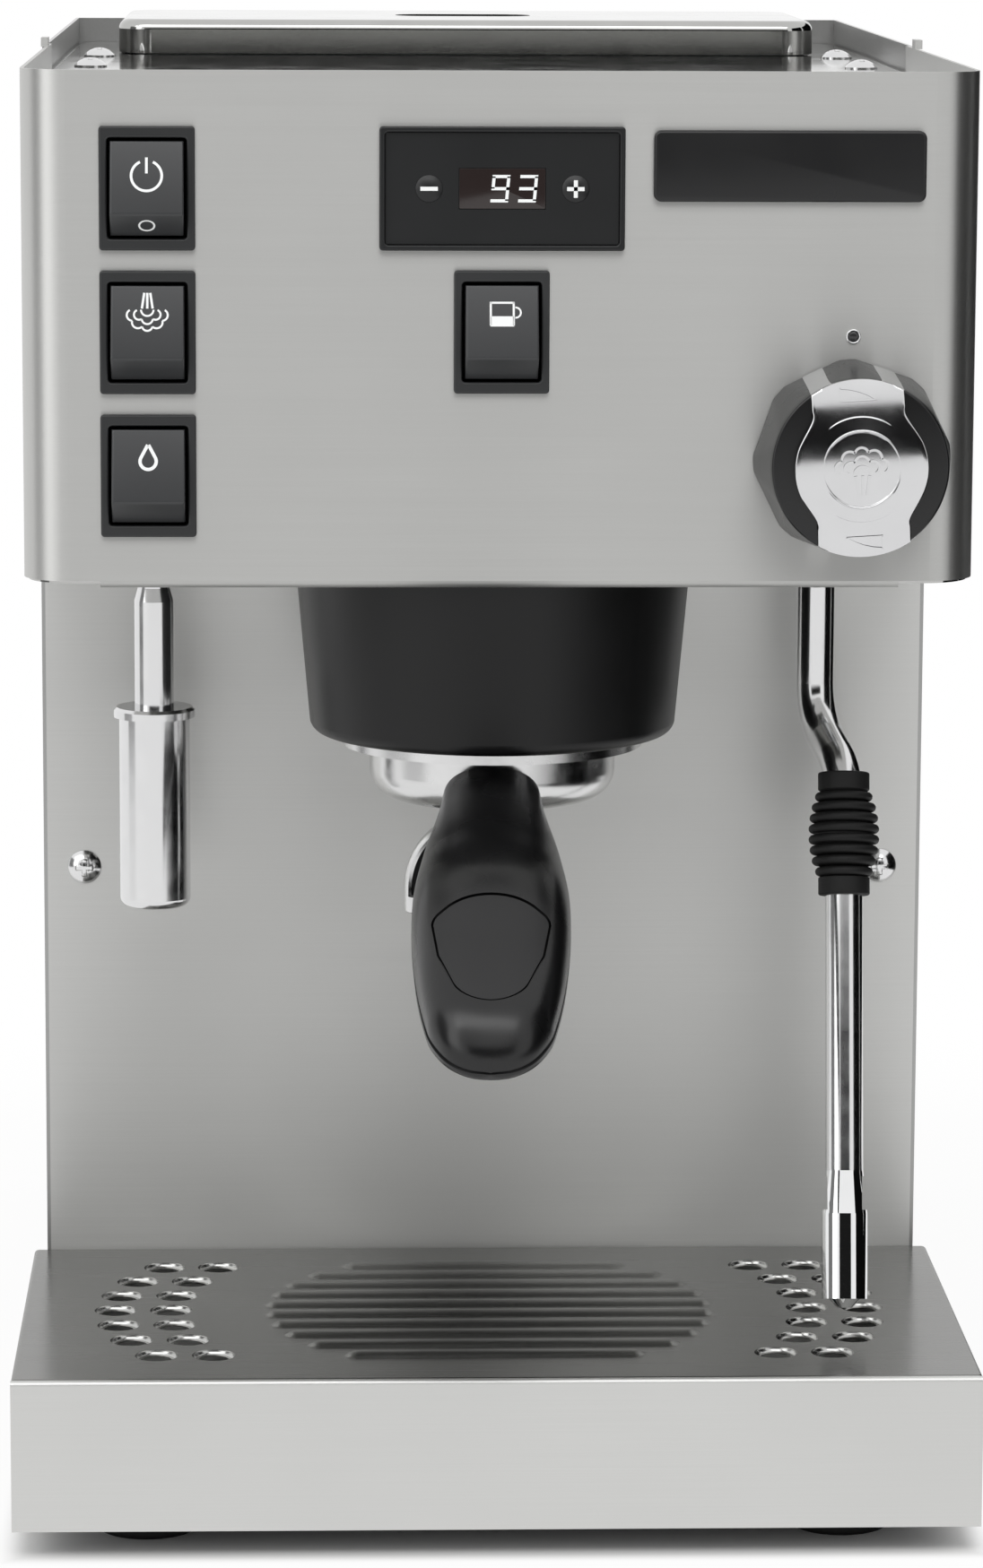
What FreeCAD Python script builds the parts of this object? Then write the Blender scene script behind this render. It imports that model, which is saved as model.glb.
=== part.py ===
import FreeCAD
import Part
import math
import os

# Home espresso machine: a stainless cabinet with a group, a steam wand, a hot-water spout and a drip tray.
# Millimetres, +Z up, front towards -Y. Places are measured from the drip tray's front (y), the middle (x)
# and the floor (z); the finished pieces then move so that the origin is the bottom centre of the whole.

V = FreeCAD.Vector
UP = V(0, 0, 1)
BACK = V(0, 1, 0)
RIGHT = V(1, 0, 0)

# Cabinet
body_w = 245.6
body_depth = 419.0
rim_z = 384.5
sheet = 1.0
foot_h = 9.0
foot_r = 14.0
foot_edge = 2.0
foot_taper = 1.5
foot_inset = 30.0
chassis_t = 1.5
upright_depth = 50.0
flange_w = 19.0
splash_y = 139.6

# Upper box and its front panel
box_y = 11.7
box_z = 253.2
corner_r = 12.0
wing_y = 190.0
seam_y = 174.0
lip_inset = 20.8
lip_d = 4.0
lip_r = 2.5
lip_drop = 1.9
hook_len = 8.0
hook_h = 2.5
ledge_w = 12.0
group_plate_t = 2.0

# Cup tray, water tank and lid
cup_floor_z = 377.0
cup_gap = 0.4
tank_from_rear = 58.0
tank_w = 204.0
tank_d = 88.0
tank_z = 215.0
tank_top_z = 384.0
tank_wall = 2.5
tank_corner = 10.0
tank_gap = 1.5
lid_w = 212.0
lid_d = 98.0
lid_top_z = 387.5
lid_wall = 2.2
lid_gap = 0.3
lid_edge = 3.0
lid_grip_w = 42.0
lid_grip_d = 20.0
lid_grip_depth = 5.0
nozzle_r = 8.0
nozzle_h = 12.0
nozzle_bore = 2.5
seat_t = 2.0
socket_wall = 3.0
seat_flange = 30.0

# Panel screws
screw_r = 2.0
screw_head_r = 4.7
screw_head_h = 2.6
screw_head_edge = 0.5
screw_len = 7.0
screw_gap = 0.1
splash_screw_inset = 11.3
splash_screw_z = 157.7
cup_screw_inset = 11.8
cup_screw_y = (219.0, 295.0)

# Drip tray and grate
tray_w = 252.8
grate_z = 47.8
apron_z = 7.5
apron_t = 1.5
apron_edge = 1.2
tray_wall = 1.2
tray_gap = 0.3
grate_flange = 23.0
grate_edge = 1.0
grate_mid_y = 71.5
hole_rows = 7
hole_pitch_y = 15.35
hole_pitch_x = 15.0
hole_out_x = 101.4
hole_arc_r = 93.0
hole_r = 4.0
dimple_depth = 2.4
rib_count = 10
rib_pitch = 10.4
rib_circle_r = 61.6
rib_r = 3.2
rib_h = 1.2

# Group
group_y = 69.0
cover_top_r = 52.5
cover_low_r = 48.3
cover_wall = 3.0
cover_z = 207.8
cover_edge = 3.5
cover_lip_r = 41.6
ring_r = 40.0
ring_z = 204.5
ring_bore = 33.6
ledge_z = 212.5
groove_r = 37.3
gasket_z = 221.8
gasket_t = 8.2
block_r = 28.0
screen_z = 219.8
screen_h = 3.7
screen_t = 0.8
group_flange_r = 44.0
group_flange_h = 13.0
neck_r = 19.0
shower_screw_r = 2.4
shower_head_r = 4.5
shower_head_h = 1.5
shower_thread = 10.0
part_gap = 0.3

# Filter holder, handle and twin spout
bell_r = 32.7
bell_z = 190.0
bell_edge = 8.0
bell_wall = 2.5
bell_floor = 3.0
holder_rim_r = 33.2
holder_rim_h = 9.0
lug_r = 36.8
lug_h = 5.5
lug_half_angle = 15.0
lock_turn = 50.0
lock_angle = -2.0
basket_r = 29.7
basket_wall = 0.6
basket_depth = 23.0
basket_rim_t = 0.8
basket_rim_r = 33.0
basket_edge = 3.0
spring_wire_r = 0.6
spring_below_rim = 8.0
handle_len = 122.0
handle_tilt = 18.0
handle_z = 193.2
handle_start = 35.5
# Ovals along the handle: distance, half width, height of the top and of the underside.
neck_ovals = ((0.0, 13.4, 10.6, -10.6), (12.7, 13.9, 11.0, -11.0))
palm_ovals = ((84.1, 17.2, 12.9, -12.0), (58.6, 20.1, 13.6, -13.2), (32.9, 19.2, 6.4, -13.6),
              (15.0, 16.6, -0.6, -13.4), (5.0, 12.6, -5.2, -12.8), (0.0, 5.0, -8.2, -11.4))
stud_r = 5.0
stud_len = 30.0
insert_from_end = 53.0
insert_len = 37.8
insert_half_w = 17.4
insert_shoulder = 0.16
insert_belly = 0.57
insert_belly_w = 0.86
insert_depth = 3.3
insert_slope = 20.0
insert_top = 12.6
insert_corner_r = 5.5
insert_gap = 0.35
insert_sink = 0.3
spout_arc_r = 13.6
spout_aside = 2.4
spout_lip = 4.0
spout_open = 0.8
spout_tube_r = 5.4
spout_bore_r = 4.2
spout_z = 158.3
spout_arch_z = 166.5
spout_boss_r = 9.0

# Steam knob and valve
knob_inset = 33.4
knob_z = 286.8
knob_base_r = 25.2
knob_face_r = 22.3
knob_len = 27.5
knob_gap = 0.6
knob_sides = 8
knob_grip_sink = 1.3
cap_band_half = 12.0
cap_disc_r = 17.2
cap_depth = 3.0
cap_waist_r = 9.0
cap_step = 1.0
cap_wrap = 2.0
stem_r = 4.0
stem_gap = 0.05
stem_in_knob = 18.0
stem_in_valve = 48.0
valve_r = 12.0
valve_block_w = 26.0
valve_block_d = 28.0
valve_block_h = 44.0

# Steam wand
ball_inset = 34.2
ball_y = 95.0
ball_z = 252.0
ball_r = 8.0
ball_gap = 0.3
ball_neck_r = 4.0
ball_neck_len = 9.0
seat_r = 10.5
seat_below = 5.0
seat_above = 7.0
nut_r = 13.0
nut_lip = 2.0
nut_opening_r = 8.2
wand_r = 5.0
wand_bend_r = 16.0
wand_bend_drop = 45.0
wand_low_right = 6.1
wand_low_out = 21.0
wand_low_drop = 56.5
wand_end_right = 5.1
wand_end_out = 49.0
wand_end_drop = 160.0
grip_start = 0.5
grip_len = 33.0
grip_end_r = 6.9
grip_mid_r = 9.5
grip_ribs = 8
grip_collar = 5.0
grip_groove = 1.5
tip_r = 6.1
tip_len = 36.4
tip_flare = 11.4
tip_nozzle = 2.4
tip_nozzle_r = 4.2
tip_mouth_r = 1.9
tip_bore_r = 1.2
tip_flat = 4.6

# Hot-water spout
spout_inset = 32.6
spout_y = 80.0
water_tube_r = 5.25
water_neck_r = 4.25
water_neck_len = 12.2
water_taper = 3.6
water_flange_r = 9.0
water_flange_h = 5.0
sleeve_r = 9.5
sleeve_z = 158.2
sleeve_h = 51.5
sleeve_edge = 2.5
collar_r = 10.9
collar_h = 2.7
collar_edge = 0.8
sleeve_bore_r = 2.8

# Rocker switches
switch_inset = 33.3
switch_z = {"power": 354.9, "steam": 318.6, "water": 282.2}
brew_switch_z = 318.8
switch_w = 24.2
switch_h = 31.2
bezel_t = 1.8
housing_w = 21.6
housing_h = 28.6
housing_d = 20.0
housing_gap = 0.2
key_w = 19.2
key_h = 24.8
key_gap = 0.35
key_pivot = 3.0
key_top_out = 0.6
key_ridge_out = 5.2
key_ridge_share = 0.76
key_low_out = -0.8
key_back = 5.0
pin_r = 1.5
pin_gap = 0.05
pin_len = 0.9

# Display, name plate and index lens
display_z = 355.0
display_w = 62.0
display_h = 31.2
display_rim = 2.2
display_face = 1.0
display_frame = 2.0
display_wall = 1.5
display_d = 14.0
window_w = 22.0
window_h = 10.4
window_sink = 0.2
button_x = 18.5
button_r = 3.4
button_gap = 0.3
button_out = 0.9
button_flange = 1.2
button_edge = 0.7
plate_inset = 15.6
plate_z = 360.8
plate_gap = 7.2
plate_h = 18.0
plate_t = 2.2
plate_r = 2.0
plate_edge = 0.6
lens_inset = 33.4
lens_z = 317.7
lens_r = 1.9
lens_out = 0.5

# Inner pieces
brew_boiler_r = 30.0
brew_boiler_h = 92.0
brew_flange_r = 36.0
brew_flange_h = 6.0
boiler_wall = 2.0
boiler_edge = 9.0
steam_boiler_r = 48.0
steam_boiler_h = 150.0
steam_boiler_x = 45.0
boiler_tank_gap = 27.0
stand_h = 90.0
stand_t = 2.0
pump_r = 22.0
pump_len = 120.0
pump_z = 48.0
pump_foot_w = 10.0
box_size = (84.0, 80.0, 70.0)
box_place = (-62.0, 245.0)
box_corner = 4.0
solenoid_place = (-52.0, 108.0)
solenoid_size = 26.0
solenoid_coil_r = 14.0
solenoid_coil_h = 36.0
pipe_r = 3.0
pipe_bend = 14.0
hose_r = 5.0
inlet_inset = 47.8
inlet_z = 62.0
inlet_w = 27.0
inlet_h = 20.0
inlet_flange = 3.0
inlet_flange_t = 2.0
inlet_d = 26.0
inlet_wall = 1.8
inlet_socket = 19.0
inlet_pin_len = 12.0
inlet_pin = (2.0, 4.0)
inlet_pin_pitch = 7.0
vent_count = 9
vent_pitch = 9.0
vent_w = 4.0
vent_h = 60.0
vent_z = 290.0

# Worked-out places
half_body = body_w / 2
splash_screw_x = half_body - splash_screw_inset
cup_screw_x = half_body - cup_screw_inset
lip_half = half_body - lip_inset
knob_x = half_body - knob_inset
ball_x = half_body - ball_inset
spout_x = spout_inset - half_body
switch_x = switch_inset - half_body
lens_x = half_body - lens_inset
plate_w = half_body - plate_inset - display_w / 2 - plate_gap
plate_x = half_body - plate_inset - plate_w / 2
inlet_x = inlet_inset - half_body
inner_half = half_body - sheet
front_half = inner_half
wing_inner = front_half - sheet
panel_z = box_z + lip_drop
plate_low = box_z + sheet
plate_high = plate_low + group_plate_t
floor_z = foot_h + chassis_t
rear_in = body_depth - sheet
tank_y = body_depth - tank_from_rear
pump_y = tank_y
steam_boiler_y = tank_y - tank_d / 2 - boiler_tank_gap - steam_boiler_r
cup_low = cup_floor_z - sheet
holder_top = gasket_z - part_gap - basket_rim_t
valve_front = box_y + sheet
wand_bend_top = V(0.0, 0.0, -wand_bend_drop)
wand_bend_low = V(wand_low_right, -wand_low_out, -wand_low_drop)
wand_end = V(wand_end_right, -wand_end_out, -wand_end_drop)


def block(x, y, z):
    """A box from three (low, high) spans."""
    return Part.makeBox(x[1] - x[0], y[1] - y[0], z[1] - z[0], V(x[0], y[0], z[0]))


def around(middle, size):
    """The span of a size about its middle."""
    return (middle - size / 2, middle + size / 2)


def post(radius, x, y, z):
    """An upright cylinder over the span z."""
    return Part.makeCylinder(radius, z[1] - z[0], V(x, y, z[0]), UP)


def rod(radius, x, y, z):
    """A cylinder along Y over the span y."""
    return Part.makeCylinder(radius, y[1] - y[0], V(x, y[0], z), BACK)


def axle(radius, x, y, z):
    """A cylinder along X over the span x."""
    return Part.makeCylinder(radius, x[1] - x[0], V(x[0], y, z), RIGHT)


def turned(points, x, y):
    """A solid turned about an upright axis, from (radius, height) points."""
    outline = [V(radius, 0, height) for radius, height in points]
    solid = Part.Face(Part.makePolygon(outline + outline[:1])).revolve(V(0, 0, 0), UP, 360)
    solid.translate(V(x, y, 0))
    return solid


def turned_along(points, start, axis):
    """A solid turned about any axis, from (radius, distance) points."""
    solid = turned(points, 0, 0)
    solid.Placement = FreeCAD.Placement(start, FreeCAD.Rotation(UP, axis)).multiply(solid.Placement)
    return solid


def rounded(shape, radius, axis, keep=None):
    """Round the straight edges along an axis, all or those whose middle keep() picks."""
    edges = []
    for edge in shape.Edges:
        straight = edge.Curve.TypeId == "Part::GeomLine"
        if straight and abs(abs(edge.Curve.Direction * axis) - 1) < 1e-6:
            if keep is None or keep(edge.CenterOfMass):
                edges.append(edge)
    return shape.makeFillet(radius, edges)


def rounded_rim(shape, radius, face_at):
    """Round all edges of the flat faces whose centre face_at() picks."""
    edges = []
    for face in shape.Faces:
        if face.Surface.TypeId == "Part::GeomPlane" and face_at(face.CenterOfMass):
            edges.extend(face.OuterWire.Edges)
    return shape.makeFillet(radius, edges)


def joined(first, others):
    """One solid from pieces that overlap or share faces."""
    return first.fuse(others).removeSplitter()


def bent_path(points, bend):
    """Straight runs through points, with a tangent arc of one radius at each corner."""
    edges = []
    start = points[0]
    for before, here, after in zip(points, points[1:], points[2:]):
        back = (before - here).normalize()
        ahead = (after - here).normalize()
        half = back.getAngle(ahead) / 2
        reach = bend / math.tan(half)
        inward = (back + ahead).normalize()
        middle = here + inward * (bend / math.sin(half) - bend)
        first = here + back * reach
        last = here + ahead * reach
        edges.append(Part.LineSegment(start, first).toShape())
        edges.append(Part.Arc(first, middle, last).toShape())
        start = last
    edges.append(Part.LineSegment(start, points[-1]).toShape())
    return Part.Wire(edges)


def bent_rod(points, bend, radius):
    """A round bar along straight runs and tangent arcs."""
    ring = Part.Wire([Part.makeCircle(radius, points[0], points[1] - points[0])])
    return bent_path(points, bend).makePipeShell([ring], True, False)


def lock(shape):
    """Turn a piece of the filter holder to where the handle stands when it is locked."""
    shape.rotate(V(0, group_y, 0), UP, lock_angle)
    return shape


# Cabinet sheets and the chassis

def chassis():
    floor = block((-inner_half, inner_half), (apron_t * 2, rear_in), (foot_h, floor_z))
    pieces = []
    for side in (-1, 1):
        outer = side * inner_half
        inner = side * (inner_half - chassis_t)
        low, high = sorted((outer, inner))
        back = splash_y + sheet
        pieces.append(block((low, high), (back, back + upright_depth), (foot_h, plate_low)))
        low, high = sorted((outer, side * (inner_half - flange_w)))
        pieces.append(block((low, high), (back, back + chassis_t), (foot_h, plate_low)))
    frame = joined(floor, pieces)
    return frame.cut(splash_screw_holes(splash_y + upright_depth))


def splash_screw_holes(rear):
    """Clearance holes of the two screws that hold the splash panel, back to a depth."""
    radius = screw_r + screw_gap
    return [rod(radius, side * splash_screw_x, (splash_y - 1, rear), splash_screw_z) for side in (-1, 1)]


def rubber_feet():
    feet = []
    for x in (-inner_half + foot_inset, inner_half - foot_inset):
        for y in (foot_inset, rear_in - foot_inset):
            profile = [(0, 0), (foot_r - foot_edge, 0), (foot_r, foot_edge), (foot_r - foot_taper, foot_h),
                       (0, foot_h)]
            feet.append(turned(profile, x, y))
    return Part.makeCompound(feet)


def front_panel():
    shell = block((-front_half, front_half), (box_y, wing_y), (panel_z, rim_z))
    shell = rounded(shell, corner_r, UP, lambda p: p.y < box_y + sheet)
    hollow = block((-wing_inner, wing_inner), (box_y + sheet, wing_y + 1), (panel_z - 1, rim_z + 1))
    hollow = rounded(hollow, corner_r - sheet, UP, lambda p: p.y < box_y + corner_r)
    panel = shell.cut(hollow)
    lip_x = (-lip_half, lip_half)
    at_bend = lambda p: p.y < box_y + lip_d - 1 and p.z < box_z + lip_drop
    lip = block(lip_x, (box_y, box_y + lip_d), (box_z, panel_z + lip_r))
    lip = rounded(lip, lip_r, RIGHT, at_bend)
    behind = block(lip_x, (box_y + sheet, box_y + lip_d + 1), (box_z + sheet, panel_z + lip_r + 1))
    behind = rounded(behind, lip_r - sheet, RIGHT, at_bend)
    additions = [lip.cut(behind)]
    for side in (-1, 1):
        low, high = sorted((side * front_half, side * (front_half - ledge_w)))
        additions.append(block((low, high), (box_y + 2 * corner_r, seam_y), (cup_low - sheet, cup_low)))
        low, high = sorted((side * wing_inner, side * half_body))
        hook_y = (seam_y - hook_len, seam_y)
        additions.append(block((low, high), hook_y, (rim_z, rim_z + hook_h)))
    panel = joined(panel, additions)
    cuts = []
    through = (box_y - 1, box_y + sheet + 1)
    for x, z in switch_places().values():
        hole_w = housing_w + 2 * housing_gap
        hole_h = housing_h + 2 * housing_gap
        cuts.append(block(around(x, hole_w), through, around(z, hole_h)))
    display_hole_w = display_w - 2 * display_frame + 2 * housing_gap
    display_hole_h = display_h - 2 * display_frame + 2 * housing_gap
    cuts.append(block(around(0, display_hole_w), through, around(display_z, display_hole_h)))
    cuts.append(rod(stem_r + part_gap, knob_x, through, knob_z))
    cuts.append(rod(lens_r, lens_x, through, lens_z))
    return panel.cut(cuts)


def side_panel(side):
    x0, x1 = sorted((side * inner_half, side * half_body))
    lower = block((x0, x1), (splash_y, body_depth), (foot_h, plate_low))
    upper = block((x0, x1), (seam_y, body_depth), (plate_low, rim_z))
    low, high = sorted((side * inner_half, side * (inner_half - ledge_w)))
    ledge = block((low, high), (wing_y + sheet, rear_in), (cup_low - sheet, cup_low))
    panel = joined(lower, [upper, ledge])
    span = (cup_low - 2 * sheet, cup_floor_z)
    return panel.cut([post(screw_r + screw_gap, side * cup_screw_x, y, span) for y in cup_screw_y])


def splash_panel():
    panel = block((-inner_half, inner_half), (splash_y, splash_y + sheet), (floor_z, plate_low))
    return panel.cut(splash_screw_holes(splash_y + 2 * sheet))


def rear_panel():
    panel = block((-inner_half, inner_half), (rear_in, body_depth), (floor_z, rim_z))
    through = (rear_in - 1, body_depth + 1)
    cuts = [block(around(inlet_x, inlet_w), through, around(inlet_z, inlet_h))]
    for index in range(vent_count):
        x = (index - (vent_count - 1) / 2) * vent_pitch
        slot = block(around(x, vent_w), through, around(vent_z, vent_h - vent_w))
        ends = [rod(vent_w / 2, x, through, vent_z + end * (vent_h - vent_w) / 2) for end in (-1, 1)]
        cuts.append(joined(slot, ends))
    return panel.cut(cuts)


def group_plate():
    front = box_y + lip_r
    floor = block((-wing_inner, wing_inner), (front, wing_y), (plate_low, plate_high))
    floor = rounded(floor, corner_r, UP, lambda p: p.y < front + 1)
    span = (plate_low - 1, plate_high + 1)
    cuts = [
        post(neck_r, 0, group_y, span),
        post(nut_r, ball_x, ball_y, span),
        post(water_neck_r, spout_x, spout_y, span),
    ]
    return floor.cut(cuts)


def cup_tray():
    half = wing_inner - cup_gap
    front = box_y + sheet + cup_gap
    tray = block((-half, half), (front, rear_in - cup_gap), (cup_low, cup_floor_z))
    tray = rounded(tray, corner_r - sheet, UP, lambda p: p.y < front + 1)
    span = (cup_low - 1, cup_floor_z + 1)
    opening = block(around(0, tank_w + 2 * tank_gap), around(tank_y, tank_d + 2 * tank_gap), span)
    cuts = [rounded(opening, tank_corner, UP)]
    for side in (-1, 1):
        for y in cup_screw_y:
            cuts.append(post(screw_r + screw_gap, side * cup_screw_x, y, span))
    return tray.cut(cuts)


def panel_screw(seat, axis):
    """A dome-head screw: its head is a ball's cap on a short straight edge."""
    shank = [V(0, 0, -screw_len), V(screw_r, 0, -screw_len), V(screw_r, 0, 0), V(screw_head_r, 0, 0),
             V(screw_head_r, 0, screw_head_edge)]
    top = V(0, 0, screw_head_h)
    dome = screw_head_h - screw_head_edge
    ball_r = (screw_head_r ** 2 + dome ** 2) / (2 * dome)
    middle = V(screw_head_r / 2, 0, screw_head_h - ball_r + math.sqrt(ball_r ** 2 - screw_head_r ** 2 / 4))
    edges = [Part.LineSegment(a, b).toShape() for a, b in zip(shank, shank[1:])]
    edges.append(Part.Arc(shank[-1], middle, top).toShape())
    edges.append(Part.LineSegment(top, shank[0]).toShape())
    screw = Part.Face(Part.Wire(edges)).revolve(V(0, 0, 0), UP, 360)
    screw.Placement = FreeCAD.Placement(seat, FreeCAD.Rotation(UP, axis))
    return screw


def panel_screws():
    screws = []
    for side in (-1, 1):
        screws.append(panel_screw(V(side * splash_screw_x, splash_y, splash_screw_z), V(0, -1, 0)))
        for y in cup_screw_y:
            screws.append(panel_screw(V(side * cup_screw_x, y, cup_floor_z), UP))
    return Part.makeCompound(screws)


# Water tank, its lid and its seat

def tank_lid():
    low = cup_floor_z + lid_gap
    lid = block(around(0, lid_w), around(tank_y, lid_d), (low, lid_top_z))
    lid = rounded(lid, tank_corner, UP)
    lid = rounded_rim(lid, lid_edge, lambda p: p.z > lid_top_z - 0.1)
    hollow_w = lid_w - 2 * lid_wall
    hollow_d = lid_d - 2 * lid_wall
    hollow = block(around(0, hollow_w), around(tank_y, hollow_d), (low - 1, tank_top_z))
    lid = lid.cut(rounded(hollow, tank_corner - lid_wall, UP))
    grip_z = lid_top_z - lid_grip_depth
    boss = block(around(0, lid_grip_w + 2 * lid_wall), around(tank_y, lid_grip_d + 2 * lid_wall),
                 (grip_z - lid_wall, tank_top_z + 1))
    grip = block(around(0, lid_grip_w), around(tank_y, lid_grip_d), (grip_z, lid_top_z + 1))
    return joined(lid, [boss]).cut(rounded(grip, lid_grip_d / 2 - 1, UP))


def water_tank():
    tank = block(around(0, tank_w), around(tank_y, tank_d), (tank_z, tank_top_z))
    tank = rounded(tank, tank_corner, UP)
    inside = block(around(0, tank_w - 2 * tank_wall), around(tank_y, tank_d - 2 * tank_wall),
                   (tank_z + tank_wall, tank_top_z + 1))
    tank = tank.cut(rounded(inside, tank_corner - tank_wall, UP))
    nozzle = post(nozzle_r, 0, tank_y, (tank_z - nozzle_h, tank_z + tank_wall))
    bore = post(nozzle_bore, 0, tank_y, (tank_z - nozzle_h - 1, tank_z + tank_wall + 1))
    return joined(tank, [nozzle]).cut(bore)


def tank_seat():
    top = tank_z
    shelf = block((-inner_half, inner_half), (tank_y - tank_d / 2, rear_in), (top - seat_t, top))
    flange = block((-inner_half, inner_half), (rear_in - seat_t, rear_in), (top - seat_flange, top))
    socket_low = top - nozzle_h - socket_wall
    socket = post(nozzle_r + socket_wall, 0, tank_y, (socket_low, top))
    seat = joined(shelf, [flange, socket])
    hole = post(nozzle_r + part_gap, 0, tank_y, (top - nozzle_h - part_gap, top + 1))
    outlet = post(nozzle_bore, 0, tank_y, (socket_low - 1, top))
    return seat.cut([hole, outlet])


def suction_hose():
    top = V(0, tank_y, tank_z - nozzle_h - socket_wall)
    inlet = V(0, pump_y, pump_z + pump_r)
    return post(hose_r, inlet.x, inlet.y, (inlet.z, top.z))


# Drip tray and grate

def drip_tray():
    half = tray_w / 2 - sheet - tray_gap
    low = floor_z + tray_gap
    high = grate_z - sheet - tray_gap
    rear = splash_y - sheet
    pan = block((-half, half), (0, rear), (low, high))
    pan = rounded(pan, 3 * tray_wall, UP, lambda p: p.y > rear - 1)
    inside = block((-half + tray_wall, half - tray_wall), (apron_t, rear - tray_wall),
                   (low + tray_wall, high + 1))
    inside = rounded(inside, 2 * tray_wall, UP)
    apron = block((-tray_w / 2, tray_w / 2), (0, apron_t), (apron_z, grate_z))
    apron = rounded(apron, apron_edge, RIGHT, lambda p: p.y < 0.1 and p.z > apron_z + 1)
    return joined(pan.cut(inside), [apron])


def hole_places():
    """Centres of the dimpled holes: two rows of arcs on each side of the grate."""
    places = []
    for row in range(hole_rows):
        off = (row - (hole_rows - 1) / 2) * hole_pitch_y
        out = hole_out_x - hole_arc_r + math.sqrt(hole_arc_r ** 2 - off ** 2)
        for side in (-1, 1):
            for x in (out, out - hole_pitch_x):
                places.append((side * x, grate_mid_y + off))
    return places


def rib_bar(y, radius):
    """A round bar with ball ends, along X, that ends on the rib circle."""
    reach = math.sqrt(rib_circle_r ** 2 - (y - grate_mid_y) ** 2) - rib_r
    centre_z = grate_z + rib_h - rib_r
    ends = [Part.makeSphere(radius, V(side * reach, y, centre_z)) for side in (-1, 1)]
    return joined(axle(radius, (-reach, reach), y, centre_z), ends)


def hole_rim(x, y):
    """The drawn rim of a hole: the sheet turns down through a quarter round."""
    low = grate_z - dimple_depth
    outer = hole_r + dimple_depth
    centre = V(outer, 0, low)
    slant = V(-math.sin(math.pi / 4), 0, math.cos(math.pi / 4))
    top = Part.Arc(V(hole_r, 0, low), centre + slant * dimple_depth, V(outer, 0, grate_z)).toShape()
    bend = centre + slant * (dimple_depth - sheet)
    under = Part.Arc(V(outer, 0, grate_z - sheet), bend, V(hole_r + sheet, 0, low)).toShape()
    edge = Part.LineSegment(V(outer, 0, grate_z), V(outer, 0, grate_z - sheet)).toShape()
    lip = Part.LineSegment(V(hole_r + sheet, 0, low), V(hole_r, 0, low)).toShape()
    rim = Part.Face(Part.Wire([top, edge, under, lip])).revolve(V(0, 0, 0), UP, 360)
    rim.translate(V(x, y, 0))
    return rim


def drip_grate():
    half = tray_w / 2
    front = apron_t + tray_gap
    rear = splash_y - tray_gap
    top = block((-half, half), (front, rear), (grate_z - grate_flange, grate_z))
    top = rounded(top, grate_edge, BACK, lambda p: p.z > grate_z - 1)
    under = block((-half + sheet, half - sheet), (front - 1, rear + 1),
                  (grate_z - grate_flange - 1, grate_z - sheet))
    grate = top.cut(under)
    above = block((-half, half), (front, rear), (grate_z - sheet, grate_z + rib_r))
    below = block((-half, half), (front, rear), (grate_z - 2 * rib_r, grate_z + rib_r))
    ribs = []
    grooves = []
    for index in range(rib_count):
        y = grate_mid_y + (index - (rib_count - 1) / 2) * rib_pitch
        ribs.append(rib_bar(y, rib_r).common(above))
        grooves.append(rib_bar(y, rib_r - sheet).common(below))
    span = (grate_z - dimple_depth, grate_z + 1)
    wells = [post(hole_r + dimple_depth, x, y, span) for x, y in hole_places()]
    rims = [hole_rim(x, y) for x, y in hole_places()]
    return grate.fuse(ribs).cut(grooves + wells).fuse(rims)


# Group

def group_cover():
    low_in = cover_low_r - cover_wall
    top_in = cover_top_r - cover_wall
    profile = [(cover_lip_r, cover_z), (cover_low_r, cover_z), (cover_top_r, plate_low), (top_in, plate_low),
               (low_in, cover_z + cover_edge), (cover_lip_r, cover_z + cover_wall)]
    return rounded_rim(turned(profile, 0, group_y), cover_edge, lambda p: p.z < cover_z + 0.1)


def group_head():
    top = plate_high
    block_z = gasket_z + gasket_t
    flange_z = plate_low - group_flange_h
    bore = shower_screw_r + screw_gap
    screw_top = screen_z + screen_h + shower_thread
    profile = [(0, top), (neck_r, top), (neck_r, plate_low), (group_flange_r, plate_low),
               (group_flange_r, flange_z), (ring_r, flange_z - (group_flange_r - ring_r)),
               (ring_r, ring_z), (ring_bore, ring_z),
               (ring_bore, ledge_z), (groove_r, ledge_z), (groove_r, block_z), (block_r, block_z),
               (block_r, screen_z + screen_h), (bore, screen_z + screen_h), (bore, screw_top), (0, screw_top)]
    head = turned(profile, 0, group_y)
    slots = []
    for angle in (lock_angle - lock_turn, lock_angle - lock_turn + 180):
        slots.append(lug_sector(groove_r, lug_half_angle + 3, (ring_z - 1, ledge_z + 1), angle))
    return head.cut(slots)


def lug_sector(radius, half_angle, z, angle):
    """A wedge of a disc about the group's axis, from inside the bell's wall outwards."""
    wedge = Part.makeCylinder(radius, z[1] - z[0], V(0, 0, z[0]), UP, 2 * half_angle)
    wedge = wedge.cut(post(bell_r - 1, 0, 0, (z[0] - 1, z[1] + 1)))
    wedge.rotate(V(0, 0, 0), UP, angle - half_angle)
    wedge.translate(V(0, group_y, 0))
    return wedge


def group_gasket():
    inner = block_r + part_gap
    outer = groove_r - part_gap
    high = gasket_z + gasket_t
    return turned([(inner, gasket_z), (outer, gasket_z), (outer, high), (inner, high)], 0, group_y)


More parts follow.
